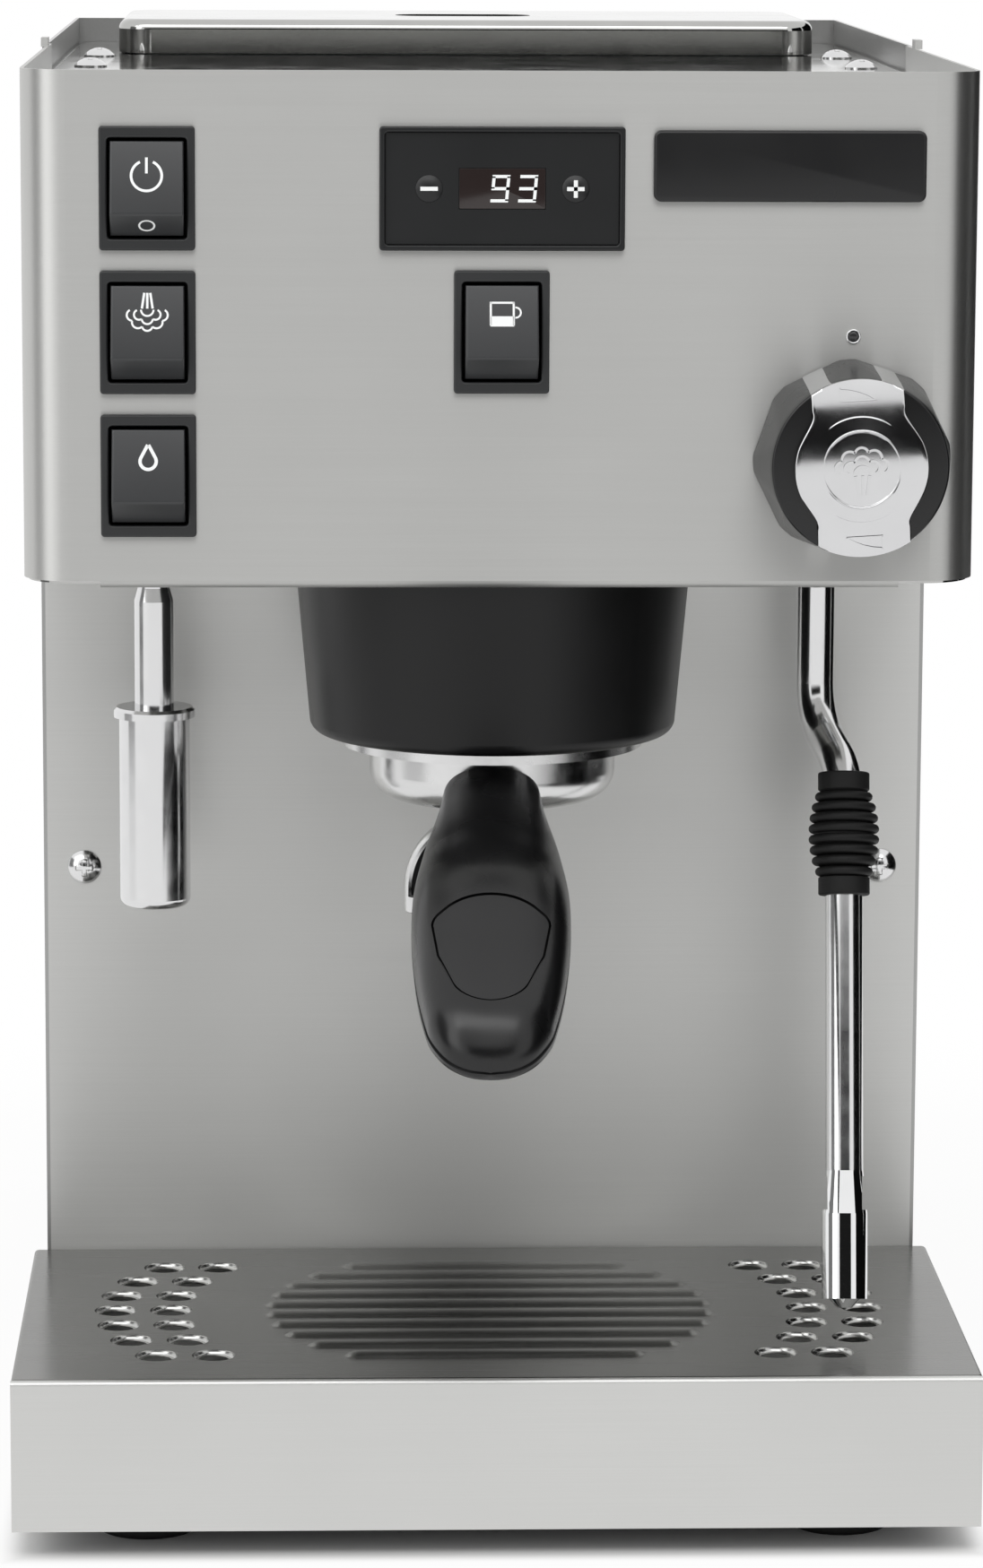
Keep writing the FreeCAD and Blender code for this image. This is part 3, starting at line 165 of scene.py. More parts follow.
def block(bm, width, height, depth):
    """Add a box whose back lies at local Z 0."""
    verts = bmesh.ops.create_cube(bm, size=1)["verts"]
    bmesh.ops.translate(bm, vec=(0, 0, 0.5), verts=verts)
    bmesh.ops.scale(bm, vec=(width, height, depth), verts=verts)


def upright(edge):
    """Whether an edge runs along local Z."""
    run = edge.verts[1].co - edge.verts[0].co
    return abs(run.z) > 0.9 * run.length


def at_height(edge, height):
    return all(abs(vert.co.z - height) < 0.001 for vert in edge.verts)


def slab(width, height, depth, corner, edge):
    """A plate with round corners and a softened front rim."""
    bm = bmesh.new()
    block(bm, width, height, depth)
    soften(bm, [e for e in bm.edges if upright(e)], corner, 6)
    soften(bm, [e for e in bm.edges if at_height(e, depth)], edge)
    return bm


def looped(loops):
    """A wall through rounded rectangles: each has a half width, half height, corner radius and height."""
    bm = bmesh.new()
    around, rows = 4 * (CORNER_STEPS + 1), len(loops) - 1
    bmesh.ops.create_grid(bm, x_segments=around, y_segments=rows, size=1)
    for vert in bm.verts:
        index, step = divmod(round((vert.co.x + 1) / 2 * around) % around, CORNER_STEPS + 1)
        half_w, half_h, corner, height = loops[round((vert.co.y + 1) / 2 * rows)]
        side_x, side_y = ((1, 1), (-1, 1), (-1, -1), (1, -1))[index]
        angle = math.radians(90 * (index + step / CORNER_STEPS))
        vert.co = (side_x * (half_w - corner) + corner * math.cos(angle),
                   side_y * (half_h - corner) + corner * math.sin(angle), height)
    bmesh.ops.remove_doubles(bm, verts=bm.verts, dist=MERGE_DIST)
    return bm


def rounded_rim(half_w, half_h, corner, edge, height, side):
    """Loops over a softened rim, from the wall to the face; side is 1 outside, and -1 round an opening."""
    rim = arc_points((-edge, height - edge), edge, 0, 90, 4)
    # One more loop beside the rim keeps the face flat to the eye.
    rim.append((-edge - RIM_BESIDE, height))
    grown = [(side * reach, level) for reach, level in rim]
    return [(half_w + grow, half_h + grow, corner + grow, level) for grow, level in grown]


def frame_ring(width, height, depth, hole_w, hole_h, corner, edge):
    """A rectangular frame with a straight opening, round corners and softened rims."""
    outside = (width / 2, height / 2, corner)
    opening = (hole_w / 2, hole_h / 2, corner)
    rims = rounded_rim(*outside, edge, depth, 1) + rounded_rim(*opening, edge, depth, -1)[::-1]
    return looped([(*opening, 0), (*outside, 0)] + rims + [(*opening, 0)])


def repeated(bm, places):
    """Copy the whole shape to each place and drop the first."""
    first, model = everything(bm), bm.verts[:]
    for place in places:
        copies = bmesh.ops.duplicate(bm, geom=first)["geom"]
        bmesh.ops.transform(bm, matrix=place, verts=verts_of(copies))
    bmesh.ops.delete(bm, geom=model, context="VERTS")


def linked(name, data):
    """A new object in the scene."""
    made = bpy.data.objects.new(name, data)
    bpy.context.scene.collection.objects.link(made)
    return made


def meshed(bm, name, material):
    """A shape as an object in the scene."""
    mesh = bpy.data.meshes.new(name)
    bm.to_mesh(mesh)
    bm.free()
    mesh.materials.append(material)
    return linked(name, mesh)


def piece(bm, place, name, body, finish, stands_for=None):
    """Set a shape in its place, as a piece that rides on a body."""
    bmesh.ops.recalc_face_normals(bm, faces=bm.faces)
    bmesh.ops.transform(bm, matrix=Matrix.Scale(MM, 4) @ place, verts=bm.verts)
    made = meshed(bm, name, finish)
    made.data.shade_smooth()
    made.data.set_sharp_from_angle(angle=SHARP_ANGLE)
    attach(made, body)
    if stands_for:
        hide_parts(stands_for)


# Strokes of marks and signs

def straight(bm, start, stop, width):
    """Add a straight flat stroke."""
    start, stop = Vector((*start, 0)), Vector((*stop, 0))
    run = stop - start
    verts = bmesh.ops.create_grid(bm, x_segments=1, y_segments=1, size=0.5)["verts"]
    bmesh.ops.scale(bm, vec=(run.length, width, 1), verts=verts)
    turn = Matrix.Rotation(math.atan2(run.y, run.x), 4, "Z")
    bmesh.ops.transform(bm, matrix=Matrix.Translation((start + stop) / 2) @ turn, verts=verts)


def curved(bm, centre, radius, start, stop, width):
    """Add a flat stroke along an arc, from one angle to another in degrees."""
    centre = Vector((*centre, 0))
    ends = [bm.verts.new(centre + Vector((radius + side * width / 2, 0, 0))) for side in SIDES]
    edge = bm.edges.new(ends)
    bmesh.ops.rotate(bm, cent=centre, matrix=Matrix.Rotation(math.radians(start), 3, "Z"), verts=ends)
    bmesh.ops.spin(bm, geom=ends + [edge], cent=centre, axis=(0, 0, 1), angle=math.radians(stop - start),
                   steps=max(4, round(abs(stop - start) / 9)))


def scallop(bm, start, through, stop, width):
    """Add a flat stroke along the arc through three points."""
    a, b, c = [complex(*point) for point in (start, through, stop)]
    ratio = (c - a) / (b - a)
    centre = a + (b - a) * (ratio - abs(ratio) ** 2) / (2j * ratio.imag)
    first, between, last = [math.degrees(cmath.phase(point - centre)) for point in (a, b, c)]
    sweep = (last - first) % 360
    if (between - first) % 360 > sweep:
        sweep -= 360
    curved(bm, (centre.real, centre.imag), abs(a - centre), first, first + sweep, width)


def raised(bm, height):
    """Give flat strokes their thickness."""
    extruded(bm, bm.faces[:], (0, 0, height))


def embossed(height, draw, *sizes):
    """A mark of strokes with a thickness."""
    bm = bmesh.new()
    draw(bm, *sizes)
    raised(bm, height)
    return bm


def minus_sign(bm, reach, width):
    straight(bm, (-reach, 0), (reach, 0), width)


def plus_sign(bm, reach, width):
    minus_sign(bm, reach, width)
    straight(bm, (0, -reach), (0, reach), width)


# Materials

def linear(code):
    """Linear colour of an sRGB hex value."""
    channels = [int(code[i:i + 2], 16) / 255 for i in (1, 3, 5)]
    return [c / 12.92 if c <= 0.04045 else ((c + 0.055) / 1.055) ** 2.4 for c in channels] + [1.0]


def add(tree, kind, sockets=None, **settings):
    """Add a shader node with its settings; sockets hold values, or outputs of other nodes to link."""
    node = tree.nodes.new(f"ShaderNode{kind}")
    for key, value in settings.items():
        setattr(node, key, value)
    for key, value in (sockets or {}).items():
        if isinstance(value, bpy.types.NodeSocket):
            tree.links.new(value, node.inputs[key])
        else:
            node.inputs[key].default_value = value
    return node


def empty_material(name):
    material = bpy.data.materials.new(name)
    material.use_nodes = True
    material.node_tree.nodes.clear()
    return material, material.node_tree


def output(tree, shader):
    add(tree, "OutputMaterial", {"Surface": shader.outputs[0]})


def object_spot(tree):
    return add(tree, "TexCoord").outputs["Object"]


def per_mm(size):
    """Texture scale for a pattern size in millimetres."""
    return 1 / (size * MM)


def noise(tree, spot, scale, detail, roughness=0.5):
    return add(tree, "TexNoise", {"Vector": spot, "Scale": scale, "Detail": detail,
                                  "Roughness": roughness}).outputs["Fac"]


def maths(tree, operation, *values, kind="Math"):
    return add(tree, kind, dict(enumerate(values)), operation=operation).outputs[0]


def ranged(tree, value, low, high, start=0.0, stop=1.0, **settings):
    """From one level to another, as a value goes from start to stop."""
    return add(tree, "MapRange", {"Value": value, "From Min": start, "From Max": stop, "To Min": low,
                                  "To Max": high}, **settings).outputs[0]


def toned(tree, share, dark, light):
    sockets = {0: share, 6: linear(dark), 7: linear(light)}
    return add(tree, "Mix", sockets, data_type="RGBA").outputs[2]


def surface(tree, tone, gloss, height, strength, relief_mm, sockets):
    """Join a colour, a roughness and a fine relief."""
    distance = relief_mm * MM
    relief = add(tree, "Bump", {"Height": height, "Strength": strength, "Distance": distance})
    output(tree, add(tree, "BsdfPrincipled", {
        "Base Color": tone, "Roughness": gloss, "Normal": relief.outputs[0], **sockets}))


SHEET_CLOUD_MM = 60
PLASTIC_CLOUD_MM = 25
SHEET_SPREAD = 0.05
PLASTIC_SPREAD = 0.06
SMUDGE_DULL = 1.8


def stainless(name, dark, light, grain_mm, smear, roughness, anisotropy):
    """Belt-brushed stainless sheet: fine lines along the grain, and reflections smeared across it.
    grain_mm gives the pattern's size along X, Y and Z, and smear the direction across the grain."""
    material, tree = empty_material(name)
    spot = object_spot(tree)
    lines = add(tree, "Mapping", {"Vector": spot, "Scale": [per_mm(size) for size in grain_mm]})
    grain = noise(tree, lines.outputs[0], 1.0, detail=4.0, roughness=0.65)
    # Handling leaves faint clouds.
    cloud = noise(tree, spot, per_mm(SHEET_CLOUD_MM), detail=2.0)
    tone = toned(tree, maths(tree, "MULTIPLY_ADD", grain, cloud, 0.25), dark, light)
    gloss = ranged(tree, grain, roughness - SHEET_SPREAD, roughness + SHEET_SPREAD)
    across = add(tree, "CombineXYZ", dict(zip("XYZ", smear)))
    surface(tree, tone, gloss, grain, strength=0.12, relief_mm=0.02, sockets={
        "Metallic": 1.0, "Anisotropic": anisotropy, "Tangent": across.outputs[0]})
    return material


def bright_metal(name, dark, light, roughness, smudge_mm, relief_mm):
    """Polished or plated metal: mirror-like, with faint smudges that dull the gloss here and there."""
    material, tree = empty_material(name)
    smudge = noise(tree, object_spot(tree), per_mm(smudge_mm), detail=3.0, roughness=0.6)
    gloss = ranged(tree, smudge, roughness, roughness * SMUDGE_DULL, start=0.3, stop=0.75)
    surface(tree, toned(tree, smudge, dark, light), gloss, smudge, strength=0.1, relief_mm=relief_mm,
            sockets={"Metallic": 1.0})
    return material


def moulded(name, dark, light, roughness, specular, grit_mm, relief_mm):
    """Moulded plastic or rubber: an even colour with a fine spark-eroded grain that breaks the gloss."""
    material, tree = empty_material(name)
    spot = object_spot(tree)
    grit = noise(tree, spot, per_mm(grit_mm), detail=2.0)
    cloud = noise(tree, spot, per_mm(PLASTIC_CLOUD_MM), detail=2.0)
    gloss = ranged(tree, cloud, roughness - PLASTIC_SPREAD, roughness + PLASTIC_SPREAD)
    surface(tree, toned(tree, cloud, dark, light), gloss, grit, strength=0.25, relief_mm=relief_mm,
            sockets={"Specular IOR Level": specular, "IOR": 1.5})
    return material


GRAIN_X = (70.0, 0.5, 0.5)
GRAIN_Y = (0.5, 70.0, 0.5)
UP = (0.0, 0.0, 1.0)
BACK = (0.0, 1.0, 0.0)

panel_steel = stainless("brushed_stainless_front", "#bebebc", "#cdcdcb", GRAIN_X, UP, 0.44, 0.75)
# A lighter base colour than the front panel's steel, set to how bright the splash panel looks in its light:
# painted light.
splash_steel = stainless("brushed_stainless_splash", "#d0d0ce", "#dededc", GRAIN_X, UP, 0.40, 0.75)
side_steel = stainless("brushed_stainless_side", "#a6a6a4", "#bababa", GRAIN_Y, UP, 0.30, 0.7)
# A lighter base colour than the front panel's steel, set to how bright the apron looks in its light: painted
# light.
tray_steel = stainless("satin_stainless_apron", "#d2d2d0", "#e0e0de", GRAIN_X, UP, 0.40, 0.6)
# The grate's steel has a much darker base colour than the other stainless: painted shade.
shaded_grate_steel = stainless("brushed_stainless_grate_painted_shade", "#7a7a78", "#8c8c8a", GRAIN_X, BACK, 0.26, 0.6)
dish_steel = bright_metal("pressed_stainless_dish", "#b8b8b6", "#c6c6c4", 0.16, 9, 0.01)
bright_steel = bright_metal("polished_stainless", "#b2b2b0", "#c2c2c0", 0.06, 18, 0.006)
chrome = bright_metal("chrome_plate", "#e2e3e4", "#f0f0f0", 0.035, 12, 0.004)
cap_chrome = bright_metal("chromed_abs_cap", "#cfcfd0", "#dededf", 0.09, 14, 0.004)
satin_chrome = bright_metal("satin_chrome_tube", "#d8d8d9", "#e4e4e4", 0.11, 9, 0.006)
cast_chrome = bright_metal("chromed_brass_casting", "#d4d4d4", "#e2e2e2", 0.17, 6, 0.02)
brass = bright_metal("turned_brass", "#b9954f", "#cba862", 0.22, 9, 0.01)
copper = bright_metal("drawn_copper", "#b9714f", "#cb8561", 0.25, 11, 0.01)
cover_black = moulded("black_coated_cover", "#070708", "#0b0b0c", 0.38, 0.36, 0.5, 0.01)
switch_black = moulded("black_abs_switch", "#242526", "#2b2c2d", 0.38, 0.45, 0.4, 0.006)
# The keys are the frames' black plastic, made lighter as painted light where their faces lean up to the
# light.
painted_light_key_black = moulded("black_abs_key_painted_light", "#303132", "#37383a", 0.34, 0.5, 0.4, 0.006)
# Near-black filling for the screw recesses, the spout's channels and the switch wells: painted shade.
painted_shade_black = moulded("painted_shade_near_black", "#020202", "#040404", 0.6, 0.2, 0.5, 0.01)
display_black = moulded("black_abs_display", "#161718", "#1b1c1d", 0.33, 0.40, 0.4, 0.004)
plate_black = moulded("black_abs_plate", "#161617", "#1c1c1d", 0.30, 0.45, 0.4, 0.004)
handle_black = moulded("black_phenolic_handle", "#0a0a0b", "#0f0f10", 0.27, 0.5, 0.6, 0.006)
insert_grey = moulded("dark_grey_insert", "#1a1a1b", "#212122", 0.45, 0.45, 0.5, 0.01)
knob_black = moulded("black_abs_knob", "#0a0a0b", "#101011", 0.28, 0.5, 0.5, 0.006)
rubber = moulded("black_epdm_rubber", "#0e0e0e", "#161616", 0.62, 0.35, 0.4, 0.03)
white_print = moulded("white_pad_print", "#eef0f0", "#f4f5f5", 0.45, 0.4, 0.3, 0.002)
lit_white = moulded("lit_display_segments", "#f2f4f4", "#f8fafa", 0.4, 0.3, 0.5, 0.001)
window_brown = moulded("smoked_acrylic_window", "#2a2322", "#312928", 0.12, 0.5, 1.0, 0.001)
grey_lens = moulded("smoked_lens", "#2a2a2b", "#343435", 0.15, 0.5, 0.6, 0.002)
white_plastic = moulded("natural_polypropylene_tank", "#c9cdcf", "#d6d9da", 0.35, 0.4, 0.8, 0.01)
powder_coat = moulded("black_powder_coat", "#17181a", "#202123", 0.55, 0.4, 0.7, 0.04)

# The solids that keep showing. The rest are replaced by pieces with finishes of their own.
finishes = {
    panel_steel: ["front_panel"],
    splash_steel: ["splash_panel"],
    side_steel: ["side_panel_left", "side_panel_right", "rear_panel"],
    tray_steel: ["drip_tray"],
    bright_steel: ["cup_tray", "tank_lid", "group_plate", "filter_basket", "basket_spring", "shower_screen",
                   "shower_screw", "tank_seat"],
    chrome: ["steam_tip", "ball_nut"],
    satin_chrome: ["steam_wand", "water_spout", "spout_sleeve"],
    cast_chrome: ["group_head", "filter_holder"],
    cover_black: ["group_cover"],
    display_black: ["control_box", "mains_inlet"],
    rubber: ["group_gasket", "suction_hose"],
    white_plastic: ["water_tank", "ball_seat"],
    powder_coat: ["chassis", "boiler_stand", "pump"],
    brass: ["steam_valve", "steam_stem", "brew_boiler", "steam_boiler", "solenoid_valve"],
    copper: ["copper_pipes"],
}
for finish, nodes in finishes.items():
    for node in nodes:
        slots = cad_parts[node].data.materials
        slots.clear()
        slots.append(finish)


# Panel screws: cross-recessed pan heads

SCREW_R = 4.7
SCREW_H = 2.6
SCREW_LIP = 0.4
RECESS_HALF = 0.6
RECESS_REACH = 2.5
RECESS_DEPTH = 1.7
RECESS_DISH = 0.3
RECESS_TAPER = 0.85
CROSS_REACH = 2.0
CROSS_W = 0.96
CROSS_BELOW = 0.2
CROSS_T = 1.25
CUP_SCREW_IN = 0.5
CUP_SCREW_PITCH = 76.0


def screw_head():
    """A domed head whose cross recess is cut out of the dome and pushed down."""
    bm = turned(dome_points(SCREW_R, SCREW_LIP, SCREW_H) + [(SCREW_R, 0)], SMALL_STEPS)
    for axis in (Vector((1, 0, 0)), Vector((0, 1, 0))):
        for reach in (-RECESS_REACH, -RECESS_HALF, RECESS_HALF, RECESS_REACH):
            bmesh.ops.bisect_plane(bm, geom=everything(bm), dist=CUT_DIST, plane_co=axis * reach,
                                   plane_no=axis)
    cross = []
    for face in bm.faces:
        spot = face.calc_center_median()
        narrow, wide = sorted((abs(spot.x), abs(spot.y)))
        if narrow < RECESS_HALF and wide < RECESS_REACH and spot.z > SCREW_LIP:
            cross.append(face)
    for vert in verts_of(extruded(bm, cross, (0, 0, 0))):
        vert.co.z = SCREW_H - RECESS_DEPTH + RECESS_DISH * vert.co.xy.length
        vert.co.xy *= RECESS_TAPER
    return bm


def panel_screws():
    """The heads, with a near-black cross of painted shade in each recess."""
    low, high = corners("panel_screws")
    splash_x = high.x - SCREW_R
    places = []
    for side in SIDES:
        places.append(facing_front(side * splash_x, low.y + SCREW_H, low.z + SCREW_R))
        for y in (high.y - SCREW_R, high.y - SCREW_R - CUP_SCREW_PITCH):
            places.append(moved(side * (splash_x - CUP_SCREW_IN), y, high.z - SCREW_H))
    cross = embossed(CROSS_T, plus_sign, CROSS_REACH, CROSS_W)
    sunk = moved(0, 0, SCREW_H - RECESS_DEPTH - CROSS_BELOW)
    repeated(cross, [place @ sunk for place in places])
    piece(cross, ORIGIN, "panel_screw_recess_shade", "cabinet", painted_shade_black)
    heads = screw_head()
    repeated(heads, places)
    piece(heads, ORIGIN, "panel_screw_heads", "cabinet", satin_chrome, "panel_screws")


# Rubber feet: turned pads with a ring tread

FOOT_R = 14.0
FOOT_ROUND = 1.5
FOOT_TAPER = 0.6
FOOT_TREAD = ((0, 0.8), (5.5, 0.8), (6.5, 0), (9, 0), (9.4, 0.6), (10.2, 0.6), (10.6, 0))


def rubber_feet():
    low, high = corners("rubber_feet")
    tall = high.z - low.z
    rim = arc_points((FOOT_R - FOOT_ROUND, FOOT_ROUND), FOOT_ROUND, -90, 0)
    bm = turned([*FOOT_TREAD, *rim, (FOOT_R - FOOT_TAPER, tall), (0, tall)])
    repeated(bm, [moved(x, y, low.z) for x in (low.x + FOOT_R, high.x - FOOT_R)
                  for y in (low.y + FOOT_R, high.y - FOOT_R)])
    piece(bm, ORIGIN, "rubber_feet_pads", "cabinet", rubber, "rubber_feet")


# Rocker switches: socket, key and printed mark

BEZEL_T = 1.8
BEZEL_CORNER = 0.9
BEZEL_ROUND = 0.5
KEY_HOLE = (20.1, 25.4)
SOCKET_GAP = 0.05
SOCKET_WALL = 0.5
SOCKET_CORNER = 1.0
SOCKET_DEEP = 10.5
SOCKET_FLOOR = 1.0
KEY_W = 18.5
# Edges of the key's two facets, as distances up the panel and out of it.
KEY_HEAD = (12.05, 2.4)
KEY_RIDGE = (-6.27, 7.0)
KEY_FOOT = (-12.05, 1.0)
KEY_BACK = -6.2
KEY_TAPER = 3.0
KEY_ROUND = 0.55
PRINT_T = 0.05


def switch_socket(key):
    """A frame in front of the panel, and the well behind it that the key tips in, near black as painted
    shade.
    """
    stands_for = f"{key}_switch_frame"
    size = extent(stands_for)
    place = on_panel(stands_for)
    bezel = frame_ring(size.x, size.z, BEZEL_T, *KEY_HOLE, BEZEL_CORNER, BEZEL_ROUND)
    piece(bezel, place, f"{key}_switch_bezel", "cabinet", switch_black, stands_for)
    half_w, half_h = [size / 2 + SOCKET_GAP for size in KEY_HOLE]
    inside = (half_w, half_h, BEZEL_CORNER)
    outside = (half_w + SOCKET_WALL, half_h + SOCKET_WALL, SOCKET_CORNER)
    well = looped([(*inside, SOCKET_FLOOR - SOCKET_DEEP), (*inside, 0), (*outside, 0),
                   (*outside, -SOCKET_DEEP)])
    closed(well)
    piece(well, place, f"{key}_switch_well", "cabinet", painted_shade_black)


def rocker_key(key):
    """A wedge with a ridge low on its face: the long facet carries the mark."""
    bm = bmesh.new()
    outline = (KEY_HEAD, KEY_RIDGE, KEY_FOOT, (KEY_FOOT[0] + KEY_TAPER, KEY_BACK),
               (KEY_HEAD[0] - KEY_TAPER, KEY_BACK))
    side = bm.faces.new([bm.verts.new((-KEY_W / 2, up, out)) for up, out in outline])
    extruded(bm, [side], (KEY_W, 0, 0))
    soften(bm, [e for e in bm.edges if all(v.co.z > 0 for v in e.verts)], KEY_ROUND)
    stands_for = f"{key}_rocker"
    piece(bm, on_panel(stands_for), f"{key}_rocker_key", f"{key}_key", painted_light_key_black, stands_for)


def power_mark(bm, width=0.67):
    curved(bm, (0, 0), 3.85, 115, 425, width)
    straight(bm, (0, 0.6), (0, 4.65), width)


def off_mark(bm, width=0.5):
    curved(bm, (0, 0), 1.9, 0, 360, width)


def steam_mark(bm, jet=0.6, cloud=0.5):
    """Three jets that swell into three rows of cloud."""
    straight(bm, (0, 4.1), (0, 8.1), jet)
    curved(bm, (0, 3.8), 1.57, 180, 360, cloud)
    scallop(bm, (-1.4, 1.45), (0, 0.15), (1.4, 1.45), cloud)
    scallop(bm, (-1.3, -0.5), (0, -1.57), (1.3, -0.5), cloud)
    for side in SIDES:
        straight(bm, (side * 1.36, 4.1), (side * 0.75, 8.1), jet)
        scallop(bm, (side * 2.6, 3.7), (side * 3.35, 2.6), (side * 1.4, 1.45), cloud)
        scallop(bm, (side * 4.4, 3.7), (side * 5.15, 2.6), (side * 3.8, 1.0), cloud)
        scallop(bm, (side * 3.8, 1.0), (side * 2.5, -0.9), (side * 1.3, -0.5), cloud)


def drop_mark(bm, width=0.85):
    curved(bm, (0, -1.1), 2.05, 150, 390, width)
    for side in SIDES:
        straight(bm, (side * 1.78, -0.08), (side * 0.1, 3.1), width)


def mug_mark(bm, wall=0.53, coffee=2.6, ear=0.45):
    for side in SIDES:
        straight(bm, (side * 2.9, 3.15), (side * 2.9, -2.9), wall)
    straight(bm, (-3.17, 2.9), (3.17, 2.9), wall)
    straight(bm, (-3.0, -1.85), (3.0, -1.85), coffee)
    curved(bm, (3.4, 0.4), 1.3, -95, 95, ear)


# Each key's mark, and how far above the middle of the long facet it is printed.
MARKS = {"power": (power_mark, 0.5), "steam": (steam_mark, -0.6), "water": (drop_mark, 2.3),
         "brew": (mug_mark, 2.0)}


def printed(draw, key, top, foot, up, name):
    """Print a mark on a key, on the facet between two of its edges."""
    lean = math.atan2(top[1] - foot[1], top[0] - foot[0])
    facet = moved(0, (top[0] + foot[0]) / 2, (top[1] + foot[1]) / 2) @ Matrix.Rotation(lean, 4, "X")
    place = on_panel(f"{key}_rocker") @ facet @ moved(0, up, -PRINT_T / 2)
    piece(embossed(PRINT_T, draw), place, name, f"{key}_key", white_print)


def rocker_switches():
    for key, (draw, up) in MARKS.items():
        switch_socket(key)
        rocker_key(key)
        printed(draw, key, KEY_HEAD, KEY_RIDGE, up, f"{key}_mark")
    printed(off_mark, "power", KEY_RIDGE, KEY_FOOT, 0, "power_off_mark")


# Display: rim, face plate with openings, window, digits and buttons

DISPLAY_RIM = 2.2
DISPLAY_FACE = 1.0
DISPLAY_BACK = 0.15
DISPLAY_CORNER = 0.9
DISPLAY_ROUND = 0.45
RIM_W = 1.4
SEAM = 0.2
PLATE_BACK = 0.2
WINDOW = (22.0, 10.4)
WINDOW_GAP = 0.2
WINDOW_SINK = 0.15
WINDOW_CORNER = 0.3
WINDOW_ROUND = 0.12
BUTTON_X = 18.5
BUTTON_R = 3.4
BUTTON_H = 1.9
BUTTON_GAP = 0.08
SIGN_REACH = 2.2
SIGN_W = 1.0
SIGN_T = 0.4
SIGN_SINK = 0.38
DIGIT_H = 6.9
DIGIT_W = 3.7
DIGIT_SINK = 0.17
DIGIT_LEAN = 0.09
SEGMENT_W = 0.78
DISPLAY_PLACE = on_panel("display_bezel")
# Each lit digit's place from the middle of the display, and the sides (x, z) of its upright segments.
DIGITS = ((-0.5, ((-1, 1), (1, 1), (1, -1))), (6.5, ((1, 1), (1, -1))))


def display_bezel():
    size = extent("display_bezel")
    inner_w, inner_h = size.x - 2 * RIM_W, size.z - 2 * RIM_W
    rim = frame_ring(size.x, size.z, DISPLAY_RIM, inner_w, inner_h, DISPLAY_CORNER, DISPLAY_ROUND)
    block(rim, inner_w, inner_h, DISPLAY_BACK)
    piece(rim, DISPLAY_PLACE, "display_surround", "cabinet", display_black, "display_bezel")
    plate = bmesh.new()
    edges = []
    for half_w, half_h in ((inner_w / 2 - SEAM, inner_h / 2 - SEAM), (WINDOW[0] / 2, WINDOW[1] / 2)):
        loop = [plate.verts.new((x * half_w, y * half_h, 0)) for x, y in ((-1, -1), (1, -1), (1, 1), (-1, 1))]
        edges += [plate.edges.new(pair) for pair in zip(loop, loop[1:] + loop[:1])]
    buttons = [moved(side * BUTTON_X, 0, 0) for side in SIDES]
    holed(plate, edges, BUTTON_R + BUTTON_GAP, SMALL_STEPS, buttons)
    raised(plate, DISPLAY_FACE - PLATE_BACK)
    place = DISPLAY_PLACE @ moved(0, 0, PLATE_BACK)
    piece(plate, place, "display_face_plate", "cabinet", display_black)
    width, height = [size - WINDOW_GAP for size in WINDOW]
    window = slab(width, height, DISPLAY_FACE - WINDOW_SINK, WINDOW_CORNER, WINDOW_ROUND)
    piece(window, DISPLAY_PLACE, "display_glass", "cabinet", window_brown, "display_window")


def lit_digits(bm):
    """Digits of straight segments, three of them level, that lean a little to the right."""
    half, tall = DIGIT_W / 2, (DIGIT_H - SEGMENT_W) / 2
    for centre, uprights in DIGITS:
        first = len(bm.verts)
        for level in (-tall, 0, tall):
            straight(bm, (-half - SEGMENT_W / 2, level), (half + SEGMENT_W / 2, level), SEGMENT_W)
        for side, end in uprights:
            straight(bm, (side * half, 0), (side * half, end * tall), SEGMENT_W)
        bm.verts.ensure_lookup_table()
        for vert in bm.verts[first:]:
            vert.co.x += centre + DIGIT_LEAN * vert.co.y


def display_digits():
    place = DISPLAY_PLACE @ moved(0, 0, DISPLAY_FACE - DIGIT_SINK)
    piece(embossed(PRINT_T, lit_digits), place, "display_digits", "cabinet", lit_white)


def display_button(key, side, draw):
    """A soft dome in the face plate, with its sign printed on top."""
    body = f"{key}_key"
    bm = turned(dome_points(BUTTON_R, DISPLAY_FACE, BUTTON_H) + [(0, DISPLAY_FACE)], SMALL_STEPS)
    place = DISPLAY_PLACE @ moved(side * BUTTON_X, 0, 0)
    piece(bm, place, f"{key}_button_dome", body, display_black, f"{key}_button")
    sign = embossed(SIGN_T, draw, SIGN_REACH, SIGN_W)
    top = place @ moved(0, 0, BUTTON_H - SIGN_SINK)
    piece(sign, top, f"{key}_sign", body, white_print)


# Name plate, left bare, and the index lens over the knob

PLATE_CORNER = 2.0
PLATE_ROUND = 0.7
LENS_RING = 0.5
LENS_GAP = 0.05
LENS_FOOT = 0.1
# The lens's dome, as shares of its radius and of its height over the panel.
LENS_DOME = ((0, 0.8), (0.5, 0.72), (0.85, 0.5))


def name_plate():
    size = extent("name_plate")
    spot = middle("name_plate")
    bm = slab(size.x, size.z, size.y, PLATE_CORNER, PLATE_ROUND)
    place = facing_front(spot.x, corners("name_plate")[1].y, spot.z)
    piece(bm, place, "bare_name_plate", "cabinet", plate_black, "name_plate")


